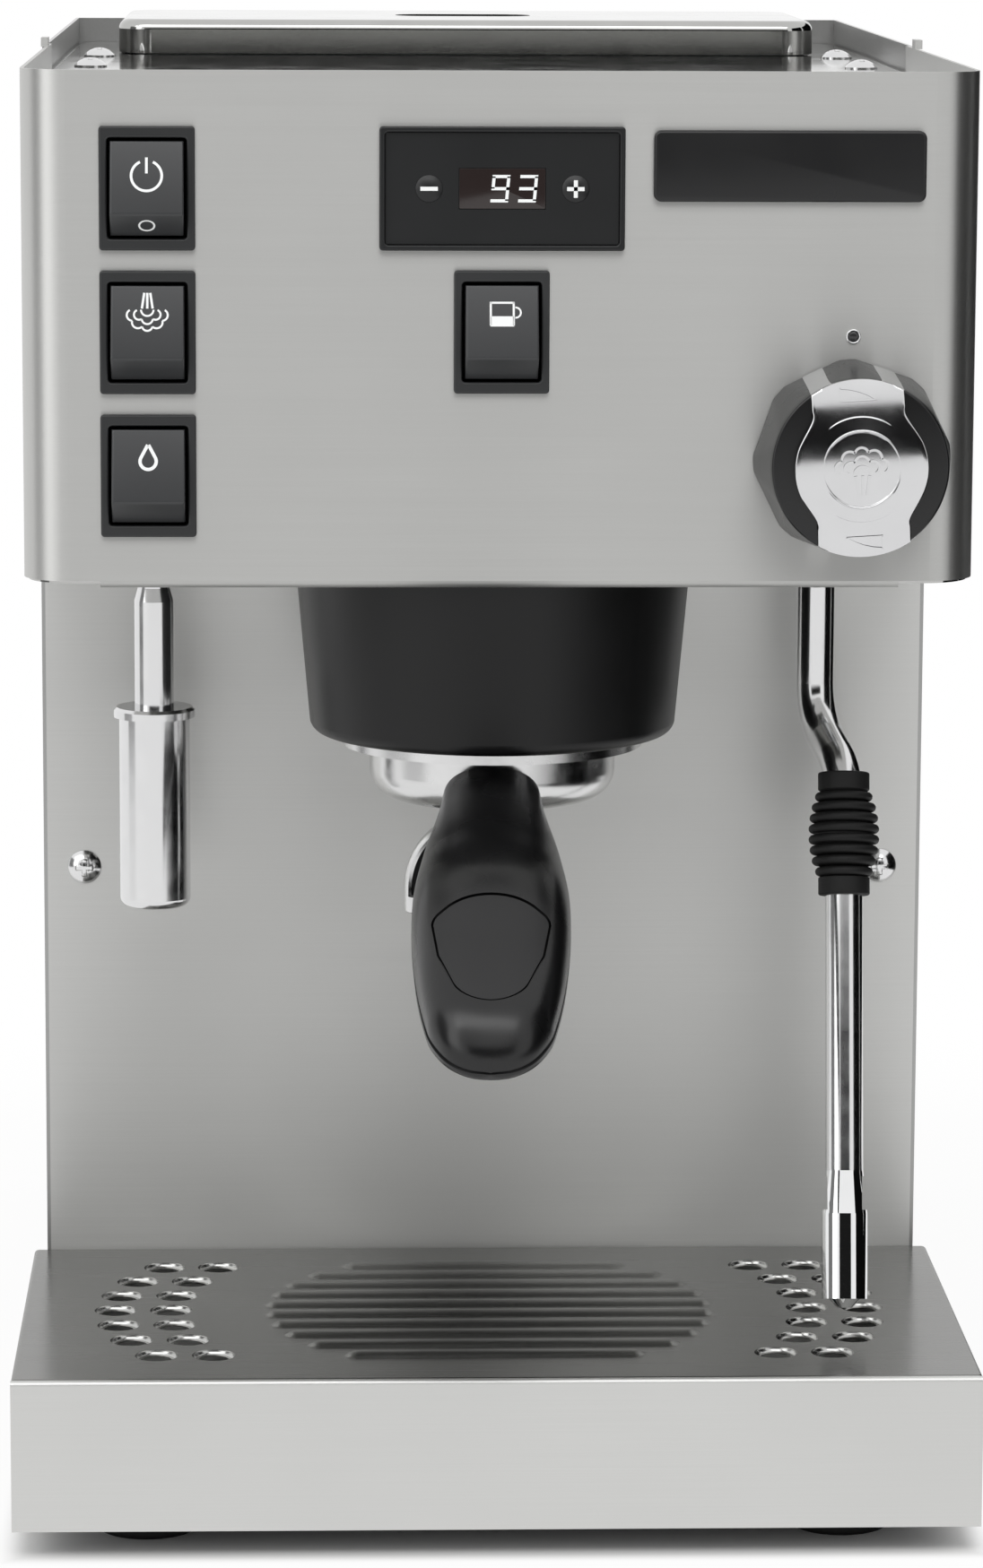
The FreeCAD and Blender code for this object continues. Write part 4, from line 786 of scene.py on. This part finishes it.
def index_lens():
    """A smoked dome in a thin bright ring."""
    low, high = corners("index_lens")
    place = on_panel("index_lens")
    radius, proud = (high.x - low.x) / 2, PANEL_Y - low.y
    inner, half = radius - LENS_RING, LENS_RING / 2
    crest = arc_points((radius - half, proud - half), half, 180, 0)
    ring = turned([(inner, 0), *crest, (radius, 0), (inner, 0)], SMALL_STEPS)
    piece(ring, place, "index_lens_ring", "cabinet", chrome)
    rim = inner - LENS_GAP
    crown = [(inner * out, proud * up) for out, up in LENS_DOME]
    dome = turned(crown + [(rim, LENS_FOOT), (rim, 0), (0, 0)], SMALL_STEPS)
    piece(dome, place, "index_lens_dome", "cabinet", grey_lens, "index_lens")


# Steam knob: an eight-sided skirt with a chrome cap across it

KNOB_LEN = 27.5
KNOB_BASE_R = 25.2
KNOB_BASE_FLAT = 24.07
KNOB_FACE_R = 22.3
KNOB_SIDES = 8
KNOB_ROUND = 0.6
KNOB_GAP = 0.6
KNOB_TURN = math.radians(3.5)
KNOB_PLACE = on_panel("steam_knob") @ moved(0, 0, KNOB_GAP) @ Matrix.Rotation(KNOB_TURN, 4, "Z")
BODY_SINK = 4.2
CAP_BASE = 26.5
CAP_HALF = 11.7
CAP_DISC_R = 16.8
CAP_EASE = 4.0
CAP_FLAT_HALF = 7.2
CAP_BOW = 3.2
CAP_SWELL = 0.15
CAP_OVER = 0.3
BAND_OVER = 0.1
BAND_PROUD = 0.5
BAND_T = 1.6
BAND_ROUND = 0.35
BAND_SOFT_Z = 24.5
DISC_SINK = 0.4
DISC_STEPS = 96
DOME_R = 95.0
FIELD_R = 9.2
RING_R = 9.7
RING_HALF = 0.35
BORDER_R = 13.0
BORDER_ROUND = 0.4
EMBLEM_T = 0.75
EMBLEM_PLACE = moved(0, 3.6, KNOB_LEN - 0.8) @ Matrix.Diagonal((1.3, -1.25, 1, 1))
WEDGE_UP = 18.3
WEDGE_T = 0.35
WEDGE_PROUD = 0.4


def flat_reach(share):
    """Distance of the skirt's flats from its axis, from the base (0) to the face (1)."""
    return KNOB_BASE_FLAT + (KNOB_FACE_R - KNOB_BASE_FLAT) * share


def knob_skirt(length, swell):
    """Eight flats that run out into a round face."""
    bm = bmesh.new()
    bmesh.ops.create_cone(bm, cap_ends=True, cap_tris=False, segments=20 * KNOB_SIDES, radius1=KNOB_BASE_R,
                          radius2=KNOB_FACE_R, depth=length, matrix=moved(0, 0, length / 2))
    long_edges = [e for e in bm.edges if abs(e.verts[0].co.z - e.verts[1].co.z) > 1]
    bmesh.ops.subdivide_edges(bm, edges=long_edges, cuts=7, use_grid_fill=True)
    side = 2 * math.pi / KNOB_SIDES
    for vert in bm.verts:
        radius = vert.co.xy.length
        angle = math.atan2(vert.co.x, vert.co.y) % side - side / 2
        vert.co.xy *= (min(radius, flat_reach(vert.co.z / length) / math.cos(angle)) + swell) / radius
    return bm


def steam_knob():
    length = KNOB_LEN - BODY_SINK
    bm = knob_skirt(length, 0)
    bm.normal_update()
    rim = [e for e in bm.edges if at_height(e, length) and sum(f.normal.z > 0.9 for f in e.link_faces) == 1]
    soften(bm, rim, KNOB_ROUND)
    piece(bm, KNOB_PLACE, "steam_knob_body", "knob", knob_black, "steam_knob")


def cap_half_width(up):
    """Half width of the cap's face: a straight band eased into a round middle."""
    disc = math.sqrt(max(CAP_DISC_R ** 2 - up ** 2, 0))
    blend = min(max(0.5 + 0.5 * (disc - CAP_HALF) / CAP_EASE, 0), 1)
    return CAP_HALF + (disc - CAP_HALF) * blend + CAP_EASE * blend * (1 - blend) / 2


def cap_wrap():
    """The band's wrap over the skirt, with a flat top."""
    length = CAP_BASE - CAP_BOW
    bm = knob_skirt(length, CAP_SWELL)
    half_side = math.pi / KNOB_SIDES
    for vert in bm.verts:
        corner = flat_reach(vert.co.z / length) / math.cos(half_side)
        top = corner - CAP_FLAT_HALF * math.tan(half_side) + CAP_OVER
        vert.co.y = min(max(vert.co.y, -top), top)
    for side in SIDES:
        bmesh.ops.bisect_plane(bm, geom=everything(bm), dist=CUT_DIST, plane_co=(side * CAP_HALF, 0, 0),
                               plane_no=(side, 0, 0), clear_outer=True)
    closed(bm)
    return bm


def bowed(up):
    """How far the cap's face lies back at a distance from its middle."""
    return CAP_BOW * (up / KNOB_FACE_R) ** 2


def cap_band():
    """The cap's front: a waisted band that bows back a little to its ends."""
    bm = bmesh.new()
    bmesh.ops.create_grid(bm, x_segments=24, y_segments=72, size=1)
    for vert in bm.verts:
        across = vert.co.x
        up = vert.co.y * math.sqrt((KNOB_FACE_R + BAND_OVER) ** 2 - (across * CAP_HALF) ** 2)
        vert.co = (across * cap_half_width(up), up, CAP_BASE + BAND_PROUD - bowed(up))
    extruded(bm, bm.faces[:], (0, 0, -BAND_T))
    bm.normal_update()
    bmesh.ops.recalc_face_normals(bm, faces=bm.faces)
    turn = [e for e in bm.edges if e.calc_face_angle(0) > 0.9 and max(v.co.z for v in e.verts) > BAND_SOFT_Z]
    front = [e for e in turn if all(any(f.normal.z > 0.9 for f in v.link_faces) for v in e.verts)]
    soften(bm, front, BAND_ROUND, 3)
    return bm


def cap_disc():
    """The raised round middle: a dished border, a step, a domed field and a thin ring."""
    centre = (0, KNOB_LEN - DISC_SINK - DOME_R)
    field = arc_points(centre, DOME_R, 90, 90 - math.degrees(FIELD_R / DOME_R), 6)
    edge_z = field[-1][1]
    ring = arc_points((RING_R, edge_z), RING_HALF, 160, 20, 5)
    border_z = edge_z - RING_HALF
    border = [(BORDER_R, border_z)] + arc_points((BORDER_R, border_z - BORDER_ROUND), BORDER_ROUND, 70, 0, 4)
    foot = CAP_BASE - BORDER_ROUND
    return turned(field + ring + border + [(BORDER_R + BORDER_ROUND, foot), (0, foot)], DISC_STEPS)


def flow_wedge(bm, width=0.35):
    """The outline of a wedge that grows to one side, for more and less steam."""
    straight(bm, (-4.6, 1.2), (4.6, 1.2), width)
    straight(bm, (4.45, 1.2), (4.45, -2.2), width)
    scallop(bm, (-4.6, 1.2), (0.2, -1.3), (4.5, -2.1), width)


def knob_cap():
    piece(cap_wrap(), KNOB_PLACE, "knob_cap_wrap", "knob", cap_chrome, "knob_cap")
    emblem = embossed(EMBLEM_T, steam_mark)
    wedges = embossed(WEDGE_T, flow_wedge)
    drop = bowed(WEDGE_UP)
    lean = 2 * drop / WEDGE_UP
    top = CAP_BASE + WEDGE_PROUD - drop
    repeated(wedges, [moved(0, side * WEDGE_UP, top) @ Matrix.Rotation(-side * lean, 4, "X")
                      @ Matrix.Diagonal((-side, -side, 1, 1)) for side in SIDES])
    for name, bm, place in (("band", cap_band(), ORIGIN), ("disc", cap_disc(), ORIGIN),
                            ("emblem", emblem, EMBLEM_PLACE), ("wedges", wedges, ORIGIN)):
        piece(bm, KNOB_PLACE @ place, f"knob_cap_{name}", "knob", cap_chrome)


# Handle: an upper shell on a lower shell, with a shield-shaped insert let into the palm

HANDLE_FROM_GROUP = Vector((0.0, -33.5, 193.2))
HANDLE_TILT = math.radians(18)
HANDLE_LOCK = math.radians(-2)
GROUP_FROM_TRAY = Vector((0.0, 69.0, 0.0))
# The group's axis, turned to the locked angle, and the handle's neck.
GROUP_PLACE = Matrix.Translation(TRAY_FRONT + GROUP_FROM_TRAY) @ Matrix.Rotation(HANDLE_LOCK, 4, "Z")
HANDLE_PLACE = GROUP_PLACE @ Matrix.Translation(HANDLE_FROM_GROUP) @ Matrix.Rotation(HANDLE_TILT, 4, "X")
HANDLE_END = 119.6
# Along the handle: distance, half width, and heights of the crown, of the parting line and of the underside.
HANDLE_STATIONS = (
    (0.0, 12.8, 10.6, 0.0, -10.6), (12.7, 14.2, 11.0, 0.0, -11.0), (38.0, 17.9, 14.0, 0.4, -12.0),
    (64.0, 20.0, 16.7, 0.0, -13.2), (89.0, 18.7, 9.9, -3.6, -13.8), (106.5, 15.6, 3.5, -7.8, -14.2),
    (112.5, 12.8, 0.2, -9.3, -14.2), (116.5, 9.3, -3.9, -10.3, -13.8), (118.8, 4.8, -7.6, -10.9, -13.0),
    (119.6, 0.0, -11.0, -11.0, -11.4))
# How square the section is: 2 is an oval.
SQUARE_STATIONS = ((0.0, 2.6), (40.0, 2.5), (75.0, 2.8), (105.0, 2.7), (119.6, 2.3))
SHELL_MERGE = 0.002
SHELL_LIP = 0.5
SHELL_SEAM = 0.16
INSERT_AT = (0, -74.6, 14.4)
INSERT_SLOPE = math.radians(20.5)
INSERT_PLACE = moved(*INSERT_AT) @ Matrix.Rotation(INSERT_SLOPE, 4, "X")
INSERT_CUT_DIST = 0.00001
RECESS = 1.4
INSERT_GAP = 0.6
INSERT_SINK = 0.35
# Rounds whose hull is the shield, from the middle of its top edge: middle, radius, angles and steps.
SHIELD_ROUNDS = (
    ((0, -18.4), 18.4, 55, 125, 12), ((0, -24.8), 10.6, 0, 360, 40),
    ((-10.9, -8.7), 4.0, 0, 360, 24), ((-6.0, -17.6), 7.6, 0, 360, 24),
    ((10.9, -8.7), 4.0, 0, 360, 24), ((6.0, -17.6), 7.6, 0, 360, 24))


def through(stations, at, column):
    """A smooth curve through one column of the stations, level with the chords on both sides of each."""
    last = len(stations) - 1
    index = max(i for i in range(last) if stations[i][0] <= at)
    (x0, y0), (x1, y1) = [(row[0], row[column]) for row in stations[index:index + 2]]

    def slope(i):
        left, right = stations[max(i - 1, 0)], stations[min(i + 1, last)]
        return (right[column] - left[column]) / (right[0] - left[0])

    span = x1 - x0
    t = (at - x0) / span
    ends = y0 * (1 + 2 * t) * (1 - t) ** 2 + y1 * t * t * (3 - 2 * t)
    return ends + span * t * (1 - t) * (slope(index) * (1 - t) - slope(index + 1) * t)


def handle_shell(side, lip):
    """Upper (1) or lower (-1) shell, along local -Y: an arched section on a flat parting face."""
    bm = bmesh.new()
    bmesh.ops.create_grid(bm, x_segments=88, y_segments=120, size=1)
    crown, seam = (2, 0) if side > 0 else (4, SHELL_SEAM)
    for vert in bm.verts:
        at = HANDLE_END * math.sin((vert.co.y + 1) / 2 * math.pi / 2)
        proud = lip * (at / HANDLE_END) ** 6
        half, top, parting = [through(HANDLE_STATIONS, at, column) for column in (1, crown, 3)]
        half += proud
        bulge = 2 / through(SQUARE_STATIONS, at, 1)
        # The first three quarters of the grid go over the arch, and the rest come back along its chord.
        turn = math.pi * min((vert.co.x + 1) / 1.5, 1)
        wide, up = math.cos(turn), math.sin(turn)
        wide = math.copysign(abs(wide) ** bulge, wide)
        if vert.co.x > 0.5:
            wide, up = (vert.co.x - 0.5) * 4 - 1, 0
        vert.co = (half * wide, -at - proud, parting + (top - parting) * abs(up) ** bulge - seam)
    bmesh.ops.remove_doubles(bm, verts=bm.verts, dist=SHELL_MERGE)
    closed(bm)
    bmesh.ops.recalc_face_normals(bm, faces=bm.faces)
    return bm


def insert_outline(gap):
    """Shield outline in its own plane."""
    points = []
    for centre, radius, *sweep in SHIELD_ROUNDS:
        points += arc_points(centre, radius - gap, *sweep)
    return [Vector((*points[i], 0)) for i in geometry.convex_hull_2d(points)]


def cut_insert(bm, gap):
    """Cut the shield outline into the crown; returns the faces inside it. Works in the insert's own plane."""
    bmesh.ops.transform(bm, matrix=INSERT_PLACE.inverted(), verts=bm.verts)
    bm.normal_update()
    inside = [f for f in bm.faces if f.normal.z > 0.2]
    outline = insert_outline(gap)
    for start, stop in zip(outline, outline[1:] + outline[:1]):
        outward = (stop - start).cross(Vector((0, 0, 1)))
        touched = dict.fromkeys(part for f in inside for part in (*f.verts, *f.edges, f))
        halves = bmesh.ops.bisect_plane(bm, geom=list(touched), dist=INSERT_CUT_DIST, plane_co=start,
                                        plane_no=outward)
        faces = [f for f in halves["geom"] if isinstance(f, bmesh.types.BMFace)]
        inside = [f for f in faces if (f.calc_center_median() - start).dot(outward) < 0]
    return inside


def handle():
    upper = handle_shell(1, 0)
    floor = cut_insert(upper, 0)
    extruded(upper, floor, (0, 0, -RECESS))
    bmesh.ops.delete(upper, geom=floor, context="FACES")
    plug = handle_shell(1, 0)
    face = set(cut_insert(plug, INSERT_GAP))
    bmesh.ops.delete(plug, geom=[f for f in plug.faces if f not in face], context="FACES")
    raised(plug, -RECESS)
    palm = HANDLE_PLACE @ INSERT_PLACE
    for name, bm, place, finish, stands_for in (
            ("handle_upper_shell", upper, palm, handle_black, "handle"),
            ("handle_lower_shell", handle_shell(-1, SHELL_LIP), HANDLE_PLACE, handle_black, None),
            ("handle_shield", plug, palm @ moved(0, 0, -INSERT_SINK), insert_grey, "handle_insert")):
        piece(bm, place, name, "portafilter", finish, stands_for)


# Twin spout: two bent channels, open to the front, under a boss

SPOUT_R = 15.0
SPOUT_ASIDE = 2.9
SPOUT_CREST_Z = 180.1
SPOUT_TUBE_R = 5.5
SPOUT_WALL = 1.1
SPOUT_OPEN = 52
SPOUT_FOOT_Z = 158.3
SPOUT_LIP = 4.5
SPOUT_BOSS_R = 9.0
BOSS_ROUND = 2.0
BOWL_FOOT_Z = 190.0
# A near-black sheet just inside the channels, as painted shade: its gap to the bore and its opening.
SHADE_SHEET_GAP = 0.05
SHADE_SHEET_OPEN = 62


def channel_arc(radius, half_open):
    """A section at the left foot, open to the front by twice an angle."""
    return arc_points((-SPOUT_R, 0), radius, half_open - 90, 270 - half_open, 28)


def bent_channel(points):
    """A section at the left foot, taken up, over the arch and down to the right foot."""
    bm = bmesh.new()
    spring_z = SPOUT_CREST_Z - SPOUT_R
    foot = SPOUT_FOOT_Z + SPOUT_LIP
    section = bm.faces.new([bm.verts.new((*point, foot)) for point in points])
    leg = extruded(bm, [section], (0, 0, spring_z - foot))
    over = bmesh.ops.spin(bm, geom=leg, cent=(0, 0, spring_z), axis=(0, 1, 0), angle=math.pi, steps=48)
    extruded(bm, over["geom_last"], (0, 0, foot - spring_z))
    return bm


def twin_spout():
    bore, half = SPOUT_TUBE_R - SPOUT_WALL, SPOUT_WALL / 2
    wall = channel_arc(SPOUT_TUBE_R, SPOUT_OPEN) + channel_arc(bore, SPOUT_OPEN)[::-1]
    # Painted shade: a near-black sheet just inside the channels' bore.
    painted_shade_sheet = channel_arc(bore - SHADE_SHEET_GAP, SHADE_SHEET_OPEN)
    lip = arc_points((SPOUT_TUBE_R - half, half), half, 180, 360)
    mouths = turned([(bore, 0), *lip, (SPOUT_TUBE_R, SPOUT_LIP), (bore, SPOUT_LIP), (bore, 0)], SMALL_STEPS)
    repeated(mouths, [moved(side * SPOUT_R, 0, SPOUT_FOOT_Z) for side in SIDES])
    boss = turned([(0, BOWL_FOOT_Z), (SPOUT_BOSS_R, BOWL_FOOT_Z), (SPOUT_BOSS_R, SPOUT_CREST_Z + BOSS_ROUND),
                   (SPOUT_BOSS_R - BOSS_ROUND, SPOUT_CREST_Z), (0, SPOUT_CREST_Z)])
    aside = GROUP_PLACE @ moved(-SPOUT_ASIDE, 0, 0)
    for name, bm, place, finish, stands_for in (
            ("channels", bent_channel(wall), aside, cast_chrome, "twin_spout"),
            ("painted_shade_sheet", bent_channel(painted_shade_sheet), aside, painted_shade_black, None),
            ("mouths", mouths, aside, cast_chrome, None), ("boss", boss, GROUP_PLACE, cast_chrome, None)):
        piece(bm, place, f"twin_spout_{name}", "portafilter", finish, stands_for)


# Drip grate: a folded plate with dished holes and soft pressed ribs

GRATE_MID = 71.5
GRATE_EDGE = 1.0
GRATE_CORNER = 1.5
HOLE_ROWS = 7
HOLE_PITCH_X = 15.0
HOLE_PITCH_Y = 15.35
HOLE_OUT = 101.4
HOLE_ARC_R = 93.0
HOLE_R = 4.1
HOLE_STEPS = 40
DISH_R = 5.7
DISH_DEEP = 1.3
DISH_TURN = 54
DISH_LIP = 0.13
RIB_COUNT = 10
RIB_PITCH = 10.4
RIB_CIRCLE_R = 61.6
RIB_HALF = 3.8
RIB_H = 1.2
RIB_PROUD = 0.02
RIB_ROOT = 0.06


def spread(count, pitch):
    """Distances of evenly spaced copies from their middle."""
    return [(index - (count - 1) / 2) * pitch for index in range(count)]


def hole_places():
    """Middles of the holes, from the middle of the grate: two arcs on each side."""
    places = []
    for off in spread(HOLE_ROWS, HOLE_PITCH_Y):
        out = HOLE_OUT - HOLE_ARC_R + math.sqrt(HOLE_ARC_R ** 2 - off ** 2)
        places += [moved(side * x, off, 0) for side in SIDES for x in (out, out - HOLE_PITCH_X)]
    return places


def pressed_rib(half_length):
    """A rib that swells softly out of the plate and dies away round its ends."""
    bm = bmesh.new()
    bmesh.ops.create_grid(bm, x_segments=48, y_segments=16, size=1)
    for vert in bm.verts:
        share = abs(vert.co.x)
        beyond = max(share - 0.5, 0) * 2 * RIB_HALF
        x = min(share, 0.5) * 2 * (half_length - RIB_HALF) + beyond
        y = vert.co.y * RIB_HALF
        fall = min(math.hypot(beyond, y) / RIB_HALF, 1)
        swell = RIB_H * (1 - fall ** 2) ** 1.3 - RIB_ROOT * fall ** 8 + RIB_PROUD
        vert.co = (math.copysign(x, vert.co.x), y, swell)
    return bm


def drip_grate():
    low, high = corners("drip_grate")
    half_w, half_d = (high.x - low.x) / 2, (high.y - low.y) / 2
    middle_y = (low.y + high.y) / 2
    top = high.z - RIB_H - RIB_PROUD
    place = moved(0, middle_y, top)
    pattern = moved(0, TRAY_FRONT.y + GRATE_MID - middle_y, 0)
    holes = [pattern @ hole for hole in hole_places()]
    outside = (half_w, half_d, GRATE_CORNER)
    plate = looped([(*outside, low.z - top)] + rounded_rim(*outside, GRATE_EDGE, 0, 1))
    edges = [e for e in plate.edges if e.is_boundary and at_height(e, 0)]
    holed(plate, edges, DISH_R, HOLE_STEPS, holes)
    piece(plate, place, "drip_grate_plate", "grate", shaded_grate_steel, "drip_grate")
    wall = arc_points((HOLE_R, 0), DISH_R - HOLE_R, 0, -DISH_TURN)
    dishes = turned(wall + [(HOLE_R, -DISH_DEEP), (HOLE_R, -DISH_DEEP - DISH_LIP)], HOLE_STEPS)
    repeated(dishes, holes)
    piece(dishes, place, "drip_grate_dishes", "grate", dish_steel)
    for index, off in enumerate(spread(RIB_COUNT, RIB_PITCH)):
        rib = pressed_rib(math.sqrt(RIB_CIRCLE_R ** 2 - off ** 2))
        rib_place = place @ pattern @ moved(0, off, 0)
        piece(rib, rib_place, f"drip_grate_rib_{index + 1}", "grate", shaded_grate_steel)


# Steam grip: moulded bellows on the wand's lower tube

BALL_FROM_TRAY = Vector((88.6, 95.0, 252.0))
WAND_LOW = Vector((6.1, -21.0, -56.5))
WAND_END = Vector((5.1, -49.0, -160.0))
WAND_R = 5.0
GRIP_START = 0.5
GRIP_LEN = 33.0
GRIP_COLLAR = 5.0
GRIP_ROUND = 0.5
GRIP_RIBS = 8
GRIP_END_R = 6.9
GRIP_MID_R = 9.5
GRIP_GROOVE = 1.5
COLLAR_IN = 0.4
# A rib's round as a share of the pitch, and where its foot, middle and end lie along it.
RIB_ROUND = 0.42
RIB_ALONG = (0.1, 0.55, 0.98)


def steam_grip():
    """Round ribs between two plain collars."""
    pitch = (GRIP_LEN - 2 * GRIP_COLLAR) / GRIP_RIBS
    round_r = RIB_ROUND * pitch
    collar_r = GRIP_END_R - GRIP_ROUND
    profile = [(WAND_R, 0), *arc_points((collar_r, GRIP_ROUND), GRIP_ROUND, -90, 0, 4),
               (GRIP_END_R, GRIP_COLLAR - COLLAR_IN)]
    for rib in range(GRIP_RIBS):
        swell = math.sin(math.pi * (rib + 0.5) / GRIP_RIBS) ** 0.7
        crest = GRIP_END_R + (GRIP_MID_R - GRIP_END_R) * swell
        foot, centre, end = [GRIP_COLLAR + (rib + share) * pitch for share in RIB_ALONG]
        profile.append((crest - GRIP_GROOVE, foot))
        profile += arc_points((crest - round_r, centre), round_r, -80, 80)
        profile.append((crest - GRIP_GROOVE, end))
    profile.append((GRIP_END_R, GRIP_LEN - GRIP_COLLAR + COLLAR_IN))
    profile += arc_points((collar_r, GRIP_LEN - GRIP_ROUND), GRIP_ROUND, 0, 90, 4)
    profile += [(WAND_R, GRIP_LEN), (WAND_R, 0)]
    ball = TRAY_FRONT + BALL_FROM_TRAY
    axis = (WAND_END - WAND_LOW).normalized()
    place = aimed(ball + WAND_LOW + axis * GRIP_START, ball + WAND_END)
    piece(turned(profile), place, "steam_grip_bellows", "wand", rubber, "steam_grip")


panel_screws()
rubber_feet()
rocker_switches()
display_bezel()
display_digits()
display_button("minus", -1, minus_sign)
display_button("plus", 1, plus_sign)
name_plate()
index_lens()
steam_knob()
knob_cap()
handle()
twin_spout()
drip_grate()
steam_grip()


# Camera: a long lens from the front, a little above and to the left

CAMERA_FROM_TRAY = Vector((-51.43, -1409.96, 442.37))
CAMERA_PITCH = 0.1670
CAMERA_YAW = 0.0347
CAMERA_ROLL = 0.0042
LENS_MM = 128.93


def photo_camera():
    place = Matrix.Translation((CAMERA_FROM_TRAY + TRAY_FRONT) * MM)
    heading = Matrix.Rotation(-CAMERA_YAW, 4, "Z") @ Matrix.Rotation(math.pi / 2 - CAMERA_PITCH, 4, "X")
    camera = linked("camera", bpy.data.cameras.new("camera"))
    camera.data.lens = LENS_MM
    camera.matrix_world = place @ heading @ Matrix.Rotation(CAMERA_ROLL, 4, "Z")
    bpy.context.scene.camera = camera


# Studio: white room, pale floor, soft lamps and dark cards that only reflections show

ROOM_DIFFUSE = 0.75
FLOOR_SIZE = 8.0
CONTACT_FADE = (-0.004, 0.005)
SHADOW_FADE = (0.006, 0.25)
CONTACT_SHARE = 0.93


def seen_directly(tree):
    """1 for camera, glossy and transmission rays, which see the white room at full strength."""
    rays = add(tree, "LightPath").outputs
    first = maths(tree, "MAXIMUM", rays["Is Camera Ray"], rays["Is Glossy Ray"])
    return maths(tree, "MAXIMUM", first, rays["Is Transmission Ray"])


def white_room():
    world = bpy.data.worlds.new("white_room")
    world.use_nodes = True
    tree = world.node_tree
    tree.nodes.clear()
    level = ranged(tree, seen_directly(tree), ROOM_DIFFUSE, 1.0)
    sky = add(tree, "Background", {"Color": linear("#ffffff"), "Strength": level})
    add(tree, "OutputWorld", {"Surface": sky.outputs[0]})
    bpy.context.scene.world = world


def glow(tree, shade):
    return add(tree, "Emission", {"Color": linear(shade), "Strength": 1.0})


def flat_sheet(width, height):
    bm = bmesh.new()
    bmesh.ops.create_grid(bm, x_segments=1, y_segments=1, size=0.5)
    bmesh.ops.scale(bm, vec=(width, height, 1), verts=bm.verts)
    return bm


def pale_floor():
    """Matt white sweep: it keeps the shadow near the machine and fades into the white room further off."""
    material, tree = empty_material("white_sweep")
    low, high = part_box("drip_tray")
    high.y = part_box("rear_panel")[1].y
    vector = "VectorMath"
    centred = maths(tree, "SUBTRACT", object_spot(tree), (low + high) / 2, kind=vector)
    folded = maths(tree, "ABSOLUTE", centred, kind=vector)
    beyond = maths(tree, "SUBTRACT", folded, (high - low) / 2, kind=vector)
    sides = add(tree, "SeparateXYZ", {0: beyond}).outputs
    reach = maths(tree, "MAXIMUM", sides["X"], sides["Y"])
    contact = ranged(tree, reach, 0.0, CONTACT_SHARE, *CONTACT_FADE, interpolation_type="SMOOTHSTEP")
    shadow = ranged(tree, reach, 0.0, 1 - CONTACT_SHARE, *SHADOW_FADE, interpolation_type="SMOOTHSTEP")
    share = maths(tree, "MULTIPLY", maths(tree, "ADD", contact, shadow), seen_directly(tree))
    paper = add(tree, "BsdfDiffuse", {"Color": linear("#f6f6f5")})
    white = glow(tree, "#ffffff")
    output(tree, add(tree, "MixShader", {0: share, 1: paper.outputs[0], 2: white.outputs[0]}))
    meshed(flat_sheet(FLOOR_SIZE, FLOOR_SIZE), "floor", material)


def softbox(name, place, aim, width, height, radiance):
    """A soft lamp; its power follows from how bright its face is."""
    light = bpy.data.lights.new(name, "AREA")
    light.shape = "RECTANGLE"
    light.size = width
    light.size_y = height
    light.energy = math.pi * width * height * radiance
    linked(name, light).matrix_world = aimed(place, aim, "-Z")


def reflection_card(name, place, aim, width, height, shade):
    """A dark card beside the set: bright metal and gloss have it to show, and it shades nothing."""
    material, tree = empty_material(name)
    output(tree, glow(tree, shade))
    bm = flat_sheet(width, height)
    bmesh.ops.transform(bm, matrix=aimed(place, aim), verts=bm.verts)
    card = meshed(bm, name, material)
    for rays in ("camera", "diffuse", "shadow", "transmission"):
        setattr(card, f"visible_{rays}", False)


bpy.context.scene.view_settings.view_transform = "Standard"
photo_camera()
white_room()
pale_floor()
softbox("front_softbox", (-0.3, -1.5, 1.75), (0, 0, 0.2), 2.6, 0.8, 2.1)
softbox("left_softbox", (-1.5, -1.1, 0.9), (0, 0, 0.2), 0.9, 1.4, 1.2)
reflection_card("right_floor_card", (0.84, -0.3, 0.006), (0.84, -0.3, 1.0), 0.8, 1.1, "#040404")
reflection_card("camera_side_card", (0.0, -2.4, 0.6), (0.0, 0.0, 0.6), 2.6, 0.8, "#1c1c1c")
reflection_card("right_card", (0.75, -0.25, 0.4), (0.0, -0.1, 0.4), 0.62, 0.8, "#0c0c0c")
reflection_card("left_card", (-1.3, -0.35, 0.4), (0.0, -0.1, 0.4), 0.6, 0.9, "#7c7c7c")
reflection_card("right_rear_card", (0.7, 0.45, 0.4), (0.0, 0.0, 0.4), 0.8, 0.8, "#0c0c0c")
